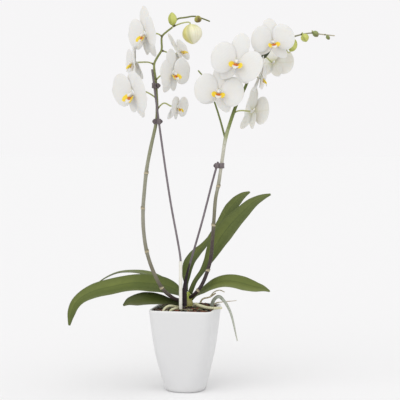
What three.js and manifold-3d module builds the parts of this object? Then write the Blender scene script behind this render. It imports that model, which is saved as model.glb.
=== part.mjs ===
// Potted moth orchid: two flower spikes with twelve white blooms and seven buds, six strap
// leaves and loose roots, growing in bark in a white rounded-square cover pot.
// Millimetres, +Z up. The origin is the centre of the pot's flat base, +X runs to the right
// of the plant's front and the front faces -Y.

import * as THREE from 'three';
import { mergeVertices } from 'three/addons/utils/BufferGeometryUtils.js';
import Module from 'manifold-3d';

const wasm = await Module();
wasm.setup();

// ---- Driving dimensions (mm and degrees) ----

const GAP = 0.3; // clearance between pieces that touch
const WELD = 1e-4; // distance under which two vertices are one

const POT = {
  wall: 3,
  floor: 5,
  turn: -11, // the pot stands a little turned about its axis
  cornerSteps: 3,
  insideLevels: [147, 110, 72, 38, 12], // heights between rim and floor where the inside bends
  // height, half side and corner radius of the outside, from the base to the rim
  outside: [
    [0, 33, 31], [3, 36.5, 32], [12, 38.3, 31], [38, 43.4, 24],
    [72, 49.4, 18], [110, 53.7, 15], [147, 57.3, 14], [150, 56.5, 13.5],
  ],
};

const BARK = {
  edge: 147, // height of the bark along the pot wall
  mound: 151.5, // height of the bark round the crown
  heap: [[0.72, 0.6], [0.36, 1]], // share of the pot's width, and of the rise to the mound
  chips: 14,
  chipSize: [11, 8, 6], // smallest chip; the largest is twice as long
  seed: 7,
};

const CROWN = {
  x: 4, y: 0, foot: 118, sides: 10,
  profile: [[7.5, 120], [10, 136], [10, 152], [8.5, 166], [5, 175]], // radius and height
  top: 178,
};

const ROD = { radius: 1.9, foot: 60, sides: 6, steps: 11 };
const SLEEVE = { x: -8.5, y: -34, radius: 3, foot: 60, top: 237, sides: 8 };
const CLIP = { height: 9.5, wall: 2.1, lobe: 3.4, lobeThickness: 2.6, sides: 7 };

const BLOOM = {
  thickness: 0.8, // of the five tepals
  petal: { length: 46, width: 54, skew: 0, sweep: 14, curl: 3, wave: 1.2 },
  dorsal: { length: 49, width: 32, skew: 0.05, sweep: 6, curl: 4, wave: 0.6 },
  lateral: { length: 41, width: 26, skew: -0.22, sweep: -4, curl: 5, wave: 0.6 },
  petalDirections: [5, 175], // degrees from the bloom's right-hand side
  lateralDirections: [-54, -126],
  sepalDepth: -2.4, // the three sepals lie behind the two petals
  // the heart has one flat for each tepal: their number and distance, and its two ends
  heart: { sides: 5, radius: 4.6, back: -6, front: 1.2 },
  foot: 4.25, // distance from the middle at which each tepal starts, just inside its flat
  footWidth: 4.8,
  column: { radius: 3, length: 11, drop: 1.5 },
  midLobe: { length: 23, width: 12, dip: 38, thickness: 1, drop: 2.2, back: 0.6, bow: 2 },
  // reach of a side lobe for each mm of its length: outward, up and forward
  sideLobe: { length: 10.5, width: 11, thickness: 1.1, run: [0.86, 0.2, 0.4], tilt: [0.75, 0.65] },
  callus: { width: 7, height: 3.6, length: 5, drop: 6.8, forward: 8.6 },
};

const PEDICEL = { radius: 1.4, rise: 1.5, straight: 13, sides: 4, steps: 5 };
const BUD = {
  // share of the bud's width at each share of its length
  profile: [[0.16, 0], [0.68, 0.12], [0.97, 0.36], [0.95, 0.6], [0.6, 0.85], [0.12, 1]],
  sides: 8,
  stalkRadii: [0.7, 1.3], // of the smallest and the largest bud
  widest: 35,
  straight: 3, // length of the stalk in line with the bud
  steps: 4,
};
const SPIKE = {
  sides: 6,
  steps: 32,
  sideSteps: 8,
  sideRadii: [1.9, 1.3],
  bract: { length: 5, foot: 0.6, top: 0.9 }, // its clearance over the stem at both ends
};

const LEAF = { thickness: 2, along: 11, across: 2, fold: 14 };

const COLOURS = {
  pot: 0xe9e9ec, bark: 0x4a3327, crown: 0x86a53f, leaf: 0x55742f, spike: 0x6f7a50,
  tepal: 0xf3f2ef, lip: 0xe3b91c, budCream: 0xe9e6ab, budGreen: 0xc3c95c, budSmall: 0x8d9755,
  rod: 0x4d434b, sleeve: 0xe6e4dc, clip: 0x685c5c, root: 0xb9c39b, aerial: 0xa9b3a4,
  dryRoot: 0xc9b9a0, sheath: 0x3b2a30,
};

// ---- Solids ----

const rad = THREE.MathUtils.degToRad;
const lerp = THREE.MathUtils.lerp;
const vec = (x, y, z) => new THREE.Vector3(x, y, z);
const vectors = (list) => list.map(([x, y, z]) => vec(x, y, z));

/** A seeded generator of numbers from 0 to 1. */
function seeded(seed) {
  let state = seed;
  return () => {
    state = (state + 0x6d2b79f5) | 0;
    let t = Math.imul(state ^ (state >>> 15), 1 | state);
    t = (t + Math.imul(t ^ (t >>> 7), 61 | t)) ^ t;
    return ((t ^ (t >>> 14)) >>> 0) / 2 ** 32;
  };
}

/** Six times the volume that a triangle list encloses; negative if its faces point inward. */
function signedVolume(position, index) {
  const corner = (k) => vec(...position.slice(3 * index[k], 3 * index[k] + 3));
  let total = 0;
  for (let k = 0; k < index.length; k += 3) {
    total += corner(k).dot(corner(k + 1).cross(corner(k + 2)));
  }
  return total;
}

/** Turns a closed geometry into a solid that can be joined and cut. */
function toSolid(geometry) {
  const bare = geometry.clone();
  bare.deleteAttribute('normal');
  bare.deleteAttribute('uv');
  const welded = mergeVertices(bare, WELD);
  const position = Array.from(welded.attributes.position.array);
  const index = [];
  for (let k = 0; k < welded.index.count; k += 3) {
    const [a, b, c] = welded.index.array.slice(k, k + 3);
    if (a !== b && b !== c && c !== a) index.push(a, b, c);
  }
  if (signedVolume(position, index) < 0) index.reverse();
  return new wasm.Manifold(new wasm.Mesh({
    numProp: 3,
    vertProperties: new Float32Array(position),
    triVerts: new Uint32Array(index),
  }));
}

/** Joins a list of solids into one. */
function join(solids) {
  return solids.reduce((whole, next) => whole.add(next));
}

/** Cuts a list of solids out of one and keeps its largest piece. */
function cut(solid, tools) {
  const rest = tools.reduce((left, tool) => left.subtract(tool), solid);
  return rest.decompose().reduce((a, b) => (a.volume() >= b.volume() ? a : b));
}

/** Makes a named mesh of a solid or of a closed geometry. */
function mesh(name, solid, colour, roughness = 0.5) {
  const { vertProperties, triVerts } = solid.getMesh();
  const geometry = new THREE.BufferGeometry();
  geometry.setAttribute('position', new THREE.BufferAttribute(vertProperties, 3));
  geometry.setIndex(new THREE.BufferAttribute(triVerts, 1));
  geometry.computeVertexNormals();
  const material = new THREE.MeshStandardMaterial({ color: colour, roughness, metalness: 0 });
  const result = new THREE.Mesh(geometry, material);
  result.name = name;
  return result;
}

/**
 * Skins a row of rings, each with the same even number of points, and closes both ends.
 * The second half of each ring is split along the other diagonal, so that the two faces of
 * a thin blade are split alike.
 */
function loft(rings) {
  const count = rings[0].length;
  const index = [];
  const quad = (a, b, c, d) => index.push(a, b, c, a, c, d);
  for (let ring = 0; ring + 1 < rings.length; ring += 1) {
    for (let i = 0; i < count; i += 1) {
      const here = ring * count;
      const next = (i + 1) % count;
      const corners = [here + i, here + next, here + count + next, here + count + i];
      if (i >= count / 2) corners.push(corners.shift());
      quad(...corners);
    }
  }
  const last = (rings.length - 1) * count;
  for (let i = 0; i < count / 2 - 1; i += 1) {
    const across = [i, i + 1, count - 2 - i, count - 1 - i];
    quad(...across.toReversed());
    quad(...across.map((k) => last + k));
  }
  const geometry = new THREE.BufferGeometry();
  const flat = rings.flat().flatMap((point) => point.toArray());
  geometry.setAttribute('position', new THREE.Float32BufferAttribute(flat, 3));
  geometry.setIndex(index);
  return toSolid(geometry);
}

/**
 * A thin curved blade. surface(u, v) gives its middle, with u from 0 at the foot to 1 at
 * the tip and v from -1 to 1 across.
 */
function blade(surface, { along, across, thickness }) {
  const step = 0.01;
  const ring = (u) => {
    const top = [];
    const bottom = [];
    for (let i = 0; i <= across; i += 1) {
      const v = (2 * i) / across - 1;
      const middle = surface(u, v);
      const alongU = surface(u + step, v).sub(surface(u - step, v));
      const acrossV = surface(u, v + step).sub(surface(u, v - step));
      const out = alongU.cross(acrossV).setLength(thickness / 2);
      top.push(middle.clone().add(out));
      bottom.unshift(middle.clone().sub(out));
    }
    return [...top, ...bottom];
  };
  return loft(Array.from({ length: along + 1 }, (_, k) => ring(k / along)));
}

/**
 * A stalk or rod along a route, with radius(t) from t = 0 at its foot to 1 at its tip.
 * grow makes it thicker and longer all round, as the tool that cuts its clearance.
 */
function stalk(route, radius, { sides = 6, steps = 12, grow = 0 } = {}) {
  const stops = vectors(route);
  const reach = (end, inner) => end.add(end.clone().sub(inner).setLength(grow));
  if (grow > 0) {
    reach(stops[0], stops[1]);
    reach(stops.at(-1), stops.at(-2));
  }
  const path = new THREE.CatmullRomCurve3(stops);
  const corner = (i) => {
    const angle = (2 * Math.PI * i) / sides;
    return new THREE.Vector2(Math.cos(angle), Math.sin(angle));
  };
  const outline = new THREE.Shape(Array.from({ length: sides }, (_, i) => corner(i)));
  const extrusion = { steps, bevelEnabled: false, extrudePath: path };
  const geometry = new THREE.ExtrudeGeometry(outline, extrusion);
  const centres = path.getSpacedPoints(steps);
  const { position } = geometry.attributes;
  const point = vec(0, 0, 0);
  for (let k = 0; k < position.count; k += 1) {
    point.fromBufferAttribute(position, k);
    const gaps = centres.map((centre) => centre.distanceTo(point));
    const nearest = gaps.indexOf(Math.min(...gaps));
    const centre = centres[nearest];
    point.sub(centre).multiplyScalar(radius(nearest / steps) + grow).add(centre);
    position.setXYZ(k, point.x, point.y, point.z);
  }
  return toSolid(geometry);
}

/** A radius that narrows evenly from foot to tip. */
const taper = (foot, tip) => (t) => lerp(foot, tip, t);

/** A radius read from a table of shares of the length and the radius at each of them. */
const thinning = (table) => (t) => {
  const next = Math.max(table.findIndex(([share]) => share >= t), 1);
  const [[low, from], [high, to]] = [table[next - 1], table[next]];
  return lerp(from, to, (t - low) / (high - low));
};

/** An upright cylinder from one height to another. */
function upright({ x, y, radius, foot, top, sides }, grow = 0) {
  const length = top - foot + 2 * grow;
  const cylinder = new THREE.CylinderGeometry(radius + grow, radius + grow, length, sides);
  return toSolid(cylinder.rotateX(Math.PI / 2).translate(x, y, (foot + top) / 2));
}

/** Where a route passes a height. */
function atHeight(route, height) {
  const samples = new THREE.CatmullRomCurve3(vectors(route)).getPoints(300);
  const miss = (point) => Math.abs(point.z - height);
  return samples.reduce((best, point) => (miss(point) < miss(best) ? point : best));
}

// ---- Pot and bark ----

/** One level of the pot: a square with round corners, turned as the pot stands. */
function potRing(height, half, corner) {
  const ring = [];
  for (let quarter = 0; quarter < 4; quarter += 1) {
    for (let step = 0; step <= POT.cornerSteps; step += 1) {
      const angle = rad(90 * (quarter + step / POT.cornerSteps));
      const middle = rad(90 * quarter + 45);
      const inset = (half - corner) * Math.SQRT2;
      ring.push(vec(
        inset * Math.cos(middle) + corner * Math.cos(angle),
        inset * Math.sin(middle) + corner * Math.sin(angle),
        height,
      ).applyAxisAngle(vec(0, 0, 1), rad(POT.turn)));
    }
  }
  return ring;
}

/** Half side and corner radius of the pot's outside at a height. */
function potSize(height) {
  const above = POT.outside.findIndex(([level]) => level >= height);
  const [low, high] = [POT.outside[Math.max(above - 1, 0)], POT.outside[above]];
  const t = high[0] > low[0] ? (height - low[0]) / (high[0] - low[0]) : 0;
  return [lerp(low[1], high[1], t), lerp(low[2], high[2], t)];
}

/** A level inside the pot, the given distance in from its outside. */
function innerRing(height, inset) {
  const [half, corner] = potSize(height);
  return potRing(height, half - inset, corner - inset / 2);
}

function potSolid() {
  const outer = POT.outside.map((level) => potRing(...level));
  const top = POT.outside.at(-1)[0];
  const inner = [top, ...POT.insideLevels, POT.floor].map((height) => innerRing(height, POT.wall));
  return loft([...outer, ...inner]);
}

/** The bark: it fills the pot, heaps up round the crown and has loose chips on top. */
function barkSolid(cutters) {
  const random = seeded(BARK.seed);
  const foot = POT.floor + GAP;
  const inset = POT.wall + GAP;
  const heap = BARK.heap.map(([share, rise]) => {
    const [half, corner] = potSize(BARK.edge);
    return potRing(lerp(BARK.edge, BARK.mound, rise), (half - inset) * share, corner * share);
  });
  const bends = POT.insideLevels.filter((height) => height < BARK.edge).toReversed();
  const levels = [foot, ...bends, BARK.edge];
  const fill = loft([...levels.map((height) => innerRing(height, inset)), ...heap]);
  const room = potSize(BARK.edge)[0] - inset;
  const chip = () => {
    const size = BARK.chipSize.map((side) => side * (1 + random()));
    const reach = Math.hypot(...size) / 2;
    const place = () => (2 * random() - 1) * (room - reach);
    const spot = vec(place(), place(), 0);
    const outward = Math.max(Math.abs(spot.x), Math.abs(spot.y)) / room;
    spot.z = lerp(BARK.mound, BARK.edge, outward ** 2);
    spot.applyAxisAngle(vec(0, 0, 1), rad(POT.turn));
    const box = new THREE.BoxGeometry(...size);
    box.rotateX(random() - 0.5).rotateY(random() - 0.5).rotateZ(Math.PI * random());
    return toSolid(box.translate(spot.x, spot.y, spot.z));
  };
  const chips = Array.from({ length: BARK.chips }, chip);
  return cut(join([fill, ...chips]), cutters);
}

// ---- Crown, leaves and the dry sheath ----

/** The short stem that carries leaves, spikes and roots; its foot stands in the bark. */
function crownSolid(grow = 0) {
  const { x, y, foot, profile, top, sides } = CROWN;
  const sideways = profile.map(([radius, height]) => [radius + grow, height]);
  const outline = [[0, foot - grow], ...sideways, [0, top + grow]]
    .map(([radius, height]) => new THREE.Vector2(radius, height));
  const geometry = new THREE.LatheGeometry(outline, sides).rotateX(Math.PI / 2).scale(1, -1, 1);
  return toSolid(geometry.translate(x, y, 0));
}

/**
 * A strap leaf along the stops of its midrib. Each stop is [x, y, z, width, roll]: the blade
 * is as wide as given there, folded up along the midrib and rolled about it by an angle.
 */
function leafSolid({ stops, thickness = LEAF.thickness, along = LEAF.along }, grow = 0) {
  const path = new THREE.CatmullRomCurve3(vectors(stops));
  const between = (t, column) => {
    const place = t * (stops.length - 1);
    const low = Math.min(Math.floor(place), stops.length - 2);
    return lerp(stops[low][column], stops[low + 1][column], place - low);
  };
  const surface = (u, v) => {
    const t = THREE.MathUtils.clamp(u, 0, 1);
    const middle = path.getPoint(t);
    const tangent = path.getTangent(t);
    middle.addScaledVector(tangent, (u - t) * path.getLength());
    const level = tangent.clone().cross(vec(0, 0, 1)).normalize();
    const side = level.applyAxisAngle(tangent, rad(between(t, 4)));
    const up = side.clone().cross(tangent);
    const half = between(t, 3) / 2 + grow;
    const rise = Math.tan(rad(LEAF.fold * (1 - 0.6 * t))) * Math.abs(v);
    return middle.addScaledVector(side, half * v).addScaledVector(up, half * rise);
  };
  return blade(surface, { along, across: LEAF.across, thickness: thickness + 2 * grow });
}

const LEAVES = {
  leaf_front_left: [
    [-1, -1, 167, 20, -30], [-17, -8, 181, 32, -38], [-39, -12, 190, 40, -43],
    [-64, -17, 194, 42, -43], [-86, -20, 196, 39, -43], [-110, -23, 194, 37, -43],
    [-135, -26, 189, 38, -43], [-161, -28, 184, 34, -43], [-185, -29, 174, 23, -40],
    [-200, -28, 160, 16, -35], [-209, -26, 144, 12, -30], [-212, -24, 119, 3, -30],
  ],
  leaf_back_left: [
    [0, 6, 171, 18, -25], [-29, 14, 187, 26, -20], [-51, 20, 198, 32, -12],
    [-73, 26, 207, 36, -5], [-99, 30, 210, 36, 0], [-125, 33, 208, 32, 1],
    [-147, 34, 199, 24, 0], [-169, 34, 184, 5, -2],
  ],
  leaf_low_left: [
    [-1, 1, 154, 9, -35], [-24, -10, 160, 16, -40], [-40, -18, 165, 23, -45],
    [-56, -24, 168, 28, -45], [-72, -30, 169, 29, -45], [-88, -35, 167, 26, -45],
    [-100, -38, 165, 18, -45], [-111, -40, 158, 3, -45],
  ],
  leaf_right: [
    [8, 3, 160, 12, 30], [19, 0, 172, 16, 35], [34, -8, 182, 22, 42], [51, -15, 193, 27, 45],
    [69, -20, 199, 29, 45], [87, -23, 199, 31, 45], [105, -25, 195, 32, 45],
    [124, -26, 190, 26, 42], [139, -25, 187, 16, 40], [152, -24, 181, 3, 40],
  ],
  leaf_tall_right: [
    [7, 1, 172, 10, 45], [17, 5, 196, 9, 55], [30, 8, 214, 10, 58], [41, 11, 233, 17, 60],
    [52, 15, 255, 29, 60], [67, 19, 279, 36, 60], [84, 24, 300, 34, 60], [103, 28, 319, 28, 60],
    [121, 32, 336, 22, 60], [140, 34, 347, 13, 60], [157, 36, 353, 3, 60],
  ],
  leaf_tall_back: [
    [1, 8, 175, 10, 40], [0, 14, 201, 17, 50], [5, 20, 226, 21, 50], [17, 26, 243, 21, 42],
    [32, 33, 257, 18, 24], [44, 39, 271, 16, 10], [57, 46, 290, 17, 10], [71, 52, 309, 22, 30],
    [83, 57, 326, 24, 52], [95, 60, 340, 20, 60], [107, 62, 350, 13, 60], [120, 64, 356, 3, 60],
  ],
};

// stands before the right rod and clasps it
const DRY_SHEATH = {
  thickness: 1.2,
  along: 6,
  stops: [
    [-2.6, -26.9, 154, 10, -90], [-2, -26.9, 170, 9.5, -90], [-1.2, -26.9, 190, 8, -90],
    [1.3, -26.5, 206, 5.5, -90], [5.2, -25.4, 223, 3.4, -90], [7.6, -24.8, 233, 1.6, -90],
  ],
};

// ---- Supports ----

const ROD_ROUTES = {
  rod_left: [[SLEEVE.x, SLEEVE.y, 226], [SLEEVE.x, SLEEVE.y, 240], [-27, -25, 345],
    [-43, -15, 452], [-59.5, -5, 577]],
  rod_right: [[-2, -24, ROD.foot], [-2, -24, 160], [-1, -24, 196], [7, -22, 227], [30, -16, 307],
    [49, -9, 380], [58, -8, 412]],
};

const rodSolid = (route, grow = 0) => stalk(route, taper(ROD.radius, ROD.radius), {
  sides: ROD.sides, steps: ROD.steps, grow,
});

const CLIPS = [
  { name: 'clip_left_upper', height: 549, spike: 'spike_left', rod: 'rod_left', lobes: [6.5] },
  { name: 'clip_left_lower', height: 485, spike: 'spike_left', rod: 'rod_left', lobes: [-6, 6] },
  { name: 'clip_right', height: 406, spike: 'spike_right', rod: 'rod_right', lobes: [-7] },
];

/** A clip that ties a spike to a rod: a collar round each and small round grips. */
function clipSolid({ height, spike, rod, lobes }, cutters) {
  const stem = atHeight(SPIKES[spike].route, height);
  const post = atHeight(ROD_ROUTES[rod], height);
  const collar = (centre, hole) => upright({
    x: centre.x,
    y: centre.y,
    radius: hole + GAP + CLIP.wall,
    foot: height - CLIP.height / 2,
    top: height + CLIP.height / 2,
    sides: CLIP.sides,
  });
  const front = Math.min(stem.y, post.y);
  const grip = (offset) => {
    const disc = new THREE.CylinderGeometry(CLIP.lobe, CLIP.lobe, CLIP.lobeThickness, CLIP.sides);
    return toSolid(disc.translate((stem.x + post.x) / 2 + offset, front, height));
  };
  const body = [collar(stem, SPIKES[spike].tied), collar(post, ROD.radius), ...lobes.map(grip)];
  return cut(join(body), cutters);
}

// ---- Blooms and buds ----

/** The place and turn of a bloom: yaw 0 faces the front, nod tips it down. */
function pose({ at, yaw, nod = 0, roll = 0 }) {
  const turn = new THREE.Quaternion()
    .setFromEuler(new THREE.Euler(rad(90 + nod), 0, rad(yaw), 'ZXY'))
    .multiply(new THREE.Quaternion().setFromAxisAngle(vec(0, 0, 1), rad(roll)));
  return new THREE.Matrix4().compose(vec(...at), turn, vec(1, 1, 1));
}

/**
 * One tepal in the bloom's own frame (x right, y up, z out of its face), spread from the
 * heart in a direction of its plane and swept towards the viewer.
 */
function tepalSolid(shape, direction, depth, size) {
  const { length, width, skew, sweep, curl, wave } = shape;
  const turn = new THREE.Euler(0, -rad(sweep), rad(direction), 'ZYX');
  const surface = (u, v) => {
    const theta = Math.PI * 0.94 * u;
    const reach = (1 - Math.cos(theta)) / 2;
    const half = (width / 2) * Math.sin(theta) * (1 + skew * (2 * reach - 1));
    const tip = 0.06 * (1 - v * v) * reach;
    const ripple = wave * Math.sin(7 * reach + 2 * v + direction) * v * v * u;
    const along = BLOOM.foot + (length - BLOOM.foot) * (reach + tip * u);
    const side = Math.max(half, BLOOM.footWidth / 2) * v;
    const point = vec(along, side, ripple - curl * reach * reach);
    return point.multiplyScalar(size).applyEuler(turn).add(vec(0, 0, depth));
  };
  return blade(surface, {
    along: width > length ? 5 : 4, across: 2, thickness: BLOOM.thickness,
  });
}

/** The heart and the column, with the lip's white middle lobe below them. */
function coreSolid(size, grow = 0) {
  const { heart, column, midLobe } = BLOOM;
  const corner = (heart.radius / Math.cos(Math.PI / heart.sides)) * size + grow;
  const depth = (heart.front - heart.back) * size + 2 * grow;
  const prism = new THREE.CylinderGeometry(corner, corner, depth, heart.sides)
    .rotateX(Math.PI / 2)
    .translate(0, 0, ((heart.front + heart.back) / 2) * size);
  const post = stalk(
    [[0, 0, 0], [0, -column.drop / 3, column.length / 2], [0, -column.drop, column.length]]
      .map((spot) => spot.map((value) => value * size)),
    (t) => size * column.radius * (t < 1 ? 1 : 0.65),
    { sides: 6, steps: 3, grow },
  );
  const dip = rad(midLobe.dip);
  const surface = (u, v) => {
    const half = (midLobe.width / 2) * Math.sin(Math.PI * (0.1 + 0.76 * u));
    const reach = midLobe.length * u;
    return vec(
      half * v,
      midLobe.bow * v * v * u - midLobe.drop - reach * Math.sin(dip),
      midLobe.bow * Math.sin(Math.PI * u) - midLobe.back + reach * Math.cos(dip),
    ).multiplyScalar(size);
  };
  const tongue = blade(surface, {
    along: 4, across: 2, thickness: midLobe.thickness + 2 * grow,
  });
  return join([toSolid(prism), post, tongue]);
}

/**
 * All that is white in a bloom, as one body. A bloom may have its own directions of petals
 * and lateral sepals, and only a share of the dorsal sepal's length.
 */
function tepalsSolid({ size, petals, sepals, dorsalShare = 1 }) {
  const { petal, lateral, sepalDepth, petalDirections, lateralDirections } = BLOOM;
  const dorsal = { ...BLOOM.dorsal, length: dorsalShare * BLOOM.dorsal.length };
  const blades = [
    ...(petals ?? petalDirections).map((direction) => tepalSolid(petal, direction, 0, size)),
    tepalSolid(dorsal, 90, sepalDepth, size),
    ...(sepals ?? lateralDirections).map((direction) => (
      tepalSolid(lateral, direction, sepalDepth, size)
    )),
  ];
  return join([...blades, coreSolid(size)]);
}

/** The yellow of the lip: a side lobe on each side of the callus under the column. */
function lipSolid(size) {
  const { sideLobe, callus } = BLOOM;
  const knob = new THREE.BoxGeometry(callus.width, callus.height, callus.length)
    .translate(0, -callus.drop, callus.forward)
    .scale(size, size, size);
  const [outward, up, forward] = sideLobe.run;
  const [rise, inward] = sideLobe.tilt;
  const root = callus.width / 2 - 0.4; // just inside the callus
  const lobe = (side) => {
    const surface = (u, v) => {
      const half = (sideLobe.width / 2) * (0.3 + 0.7 * Math.sin(Math.PI * 0.82 * u));
      const reach = sideLobe.length * u;
      return vec(
        side * (root + reach * outward),
        reach * up + half * v * rise - callus.drop,
        callus.forward + reach * forward - half * v * inward,
      ).multiplyScalar(size);
    };
    return blade(surface, { along: 3, across: 1, thickness: sideLobe.thickness });
  };
  return cut(join([toSolid(knob), lobe(-1), lobe(1)]), [coreSolid(size, GAP)]);
}

const BLOOMS = [
  { name: 'bloom_left_1', spike: 'spike_left', foot: [-42, 3, 637],
    at: [-70, -20, 639], yaw: -56, nod: 7, sepals: [-80, -120], size: 1.02 },
  { name: 'bloom_left_2', spike: 'spike_left', foot: [-56, 2, 588],
    at: [-93, 24, 592], yaw: -76, nod: 4, size: 0.92 },
  { name: 'bloom_left_3', spike: 'spike_left', foot: [-53, 0, 527],
    at: [-92, -18, 535], yaw: -52, nod: 12, roll: -10, sepals: [-80, -122], dorsalShare: 0.7,
    size: 1.14 },
  { name: 'bloom_left_4', spike: 'spike_left', foot: [-44, 4, 613],
    at: [-12, 21, 611], yaw: 70, nod: -26, roll: 10, size: 0.78 },
  { name: 'bloom_left_5', spike: 'spike_left', foot: [-53, 1, 560],
    at: [-23, -24, 570], yaw: 50, nod: 4, roll: 8, sepals: [-66, -112], size: 0.88 },
  { name: 'bloom_left_6', spike: 'spike_left', foot: [-51, -2, 507],
    at: [-15, 0, 511], yaw: 62, nod: 8, dorsalShare: 0.55, rise: 8, size: 0.68 },
  { name: 'bloom_right_1', spike: 'spike_right', foot: [109, 0, 551],
    at: [91, -50, 589], yaw: -9, roll: -12, petals: [-9, 175], size: 1.02 },
  { name: 'bloom_right_2', spike: 'spike_right', foot: [52, -1, 526],
    at: [60, -30, 538], yaw: -5, roll: -8, sepals: [-60, -146], size: 0.98 },
  { name: 'bloom_right_3', spike: 'spike_right', foot: [150, 6, 612],
    at: [154, -28, 624], yaw: 6, nod: -4, roll: 10, petals: [17, 155], sepals: [-54, -160],
    size: 0.88 },
  { name: 'bloom_right_4', spike: 'spike_right', foot: [140, 6, 602],
    at: [159, 31, 592], yaw: 152, nod: 14, size: 0.84 },
  { name: 'bloom_right_5', spike: 'spike_right', foot: [111, 0, 556],
    at: [134, -8, 563], yaw: 82, nod: 10, size: 0.8 },
  { name: 'bloom_right_6', spike: 'spike_right', foot: [86, -8, 500],
    at: [122, 17, 503], yaw: 118, nod: 6, size: 0.95 },
];

/** The point nearest to a spot on the straight steps that make up a spike's stems. */
function onStem(spot, { route, side }) {
  const nearest = (line, steps) => {
    const points = new THREE.CatmullRomCurve3(vectors(line)).getSpacedPoints(steps);
    return points.slice(1).map((end, k) => (
      new THREE.Line3(points[k], end).closestPointToPoint(vec(...spot), true, vec(0, 0, 0))
    ));
  };
  const found = [...nearest(route, SPIKE.steps), ...(side ? nearest(side, SPIKE.sideSteps) : [])];
  const miss = (point) => point.distanceTo(vec(...spot));
  return found.reduce((best, point) => (miss(point) < miss(best) ? point : best));
}

/** The route of a flower stalk from its foot on the spike into the back of its bloom. */
function pedicelRoute(bloom) {
  const place = pose(bloom);
  const back = BLOOM.heart.back * bloom.size;
  const end = vec(0, 0, back - GAP).applyMatrix4(place);
  const behind = vec(0, 0, back - PEDICEL.straight * bloom.size).applyMatrix4(place);
  const foot = onStem(bloom.foot, SPIKES[bloom.spike]);
  const rise = bloom.rise ?? PEDICEL.rise;
  const middle = foot.clone().lerp(behind, 0.5).add(vec(0, 0, rise));
  return [foot, middle, behind, end].map((stop) => stop.toArray());
}

const BUDS = [
  { name: 'bud_left_1', spike: 'spike_left', colour: COLOURS.budCream, width: 36.5, lobes: 0.06,
    base: [8.5, -4, 658], tip: [14.5, -6, 623], route: [[-22, 2, 655], [-8, 0, 660], [4, -3, 662]] },
  { name: 'bud_left_2', spike: 'spike_left', colour: COLOURS.budGreen, width: 16.5, lobes: 0.04,
    base: [-23, -7, 656], tip: [-24, -7, 679], route: [[-22, 2, 655], [-23, -5, 652]] },
  { name: 'bud_left_3', spike: 'spike_left', colour: COLOURS.budSmall, width: 13.5, lobes: 0.03,
    base: [21, -3, 670], tip: [24, -12, 663], route: [[18, 3, 673]] },
  { name: 'bud_right_1', spike: 'spike_right', colour: COLOURS.budGreen, width: 16, lobes: 0.05,
    base: [188, 6, 611], tip: [197, 6, 632], route: [[184, 4, 634], [181, 10, 620], [184, 8, 609]] },
  { name: 'bud_right_2', spike: 'spike_right', colour: COLOURS.budGreen, width: 15, lobes: 0.04,
    base: [210, -3, 641], tip: [216, -6, 627], route: [[208, 2, 640]] },
  { name: 'bud_right_3', spike: 'spike_right', colour: COLOURS.budSmall, width: 11, lobes: 0.03,
    base: [228, -5, 645], tip: [236, -10, 636], route: [[227, 0, 642]] },
  { name: 'bud_right_4', spike: 'spike_right', colour: COLOURS.budSmall, width: 7, lobes: 0.02,
    base: [252, -3, 638], tip: [257, -5, 631], route: [[250, -1, 640]] },
];

/** A closed bud between its base and its tip, with the swell of its three sepals. */
function budSolid({ base, tip, width, lobes }) {
  const [start, end] = vectors([base, tip]);
  const axis = end.clone().sub(start);
  const length = axis.length();
  const turn = new THREE.Quaternion().setFromUnitVectors(vec(0, 0, 1), axis.normalize());
  const ring = ([share, rise]) => Array.from({ length: BUD.sides }, (_, i) => {
    const angle = (2 * Math.PI * i) / BUD.sides;
    const radius = (width / 2) * share * (1 + lobes * Math.cos(3 * angle));
    return vec(radius * Math.cos(angle), radius * Math.sin(angle), rise * length)
      .applyQuaternion(turn).add(start);
  });
  return loft(BUD.profile.map(ring));
}

/** The stalk of a bud, from the spike to the flat at the bud's base. */
function budStalk({ base, tip, width, spike, route }) {
  const [start, end] = vectors([base, tip]);
  const foot = onStem(route[0], SPIKES[spike]).toArray();
  const behind = (gap) => start.clone().lerp(end, -gap / start.distanceTo(end)).toArray();
  const radius = lerp(...BUD.stalkRadii, width / BUD.widest);
  const line = [foot, ...route.slice(1), behind(BUD.straight), behind(GAP)];
  return stalk(line, taper(radius, radius), { sides: PEDICEL.sides, steps: BUD.steps });
}

// ---- Flower spikes ----

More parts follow.
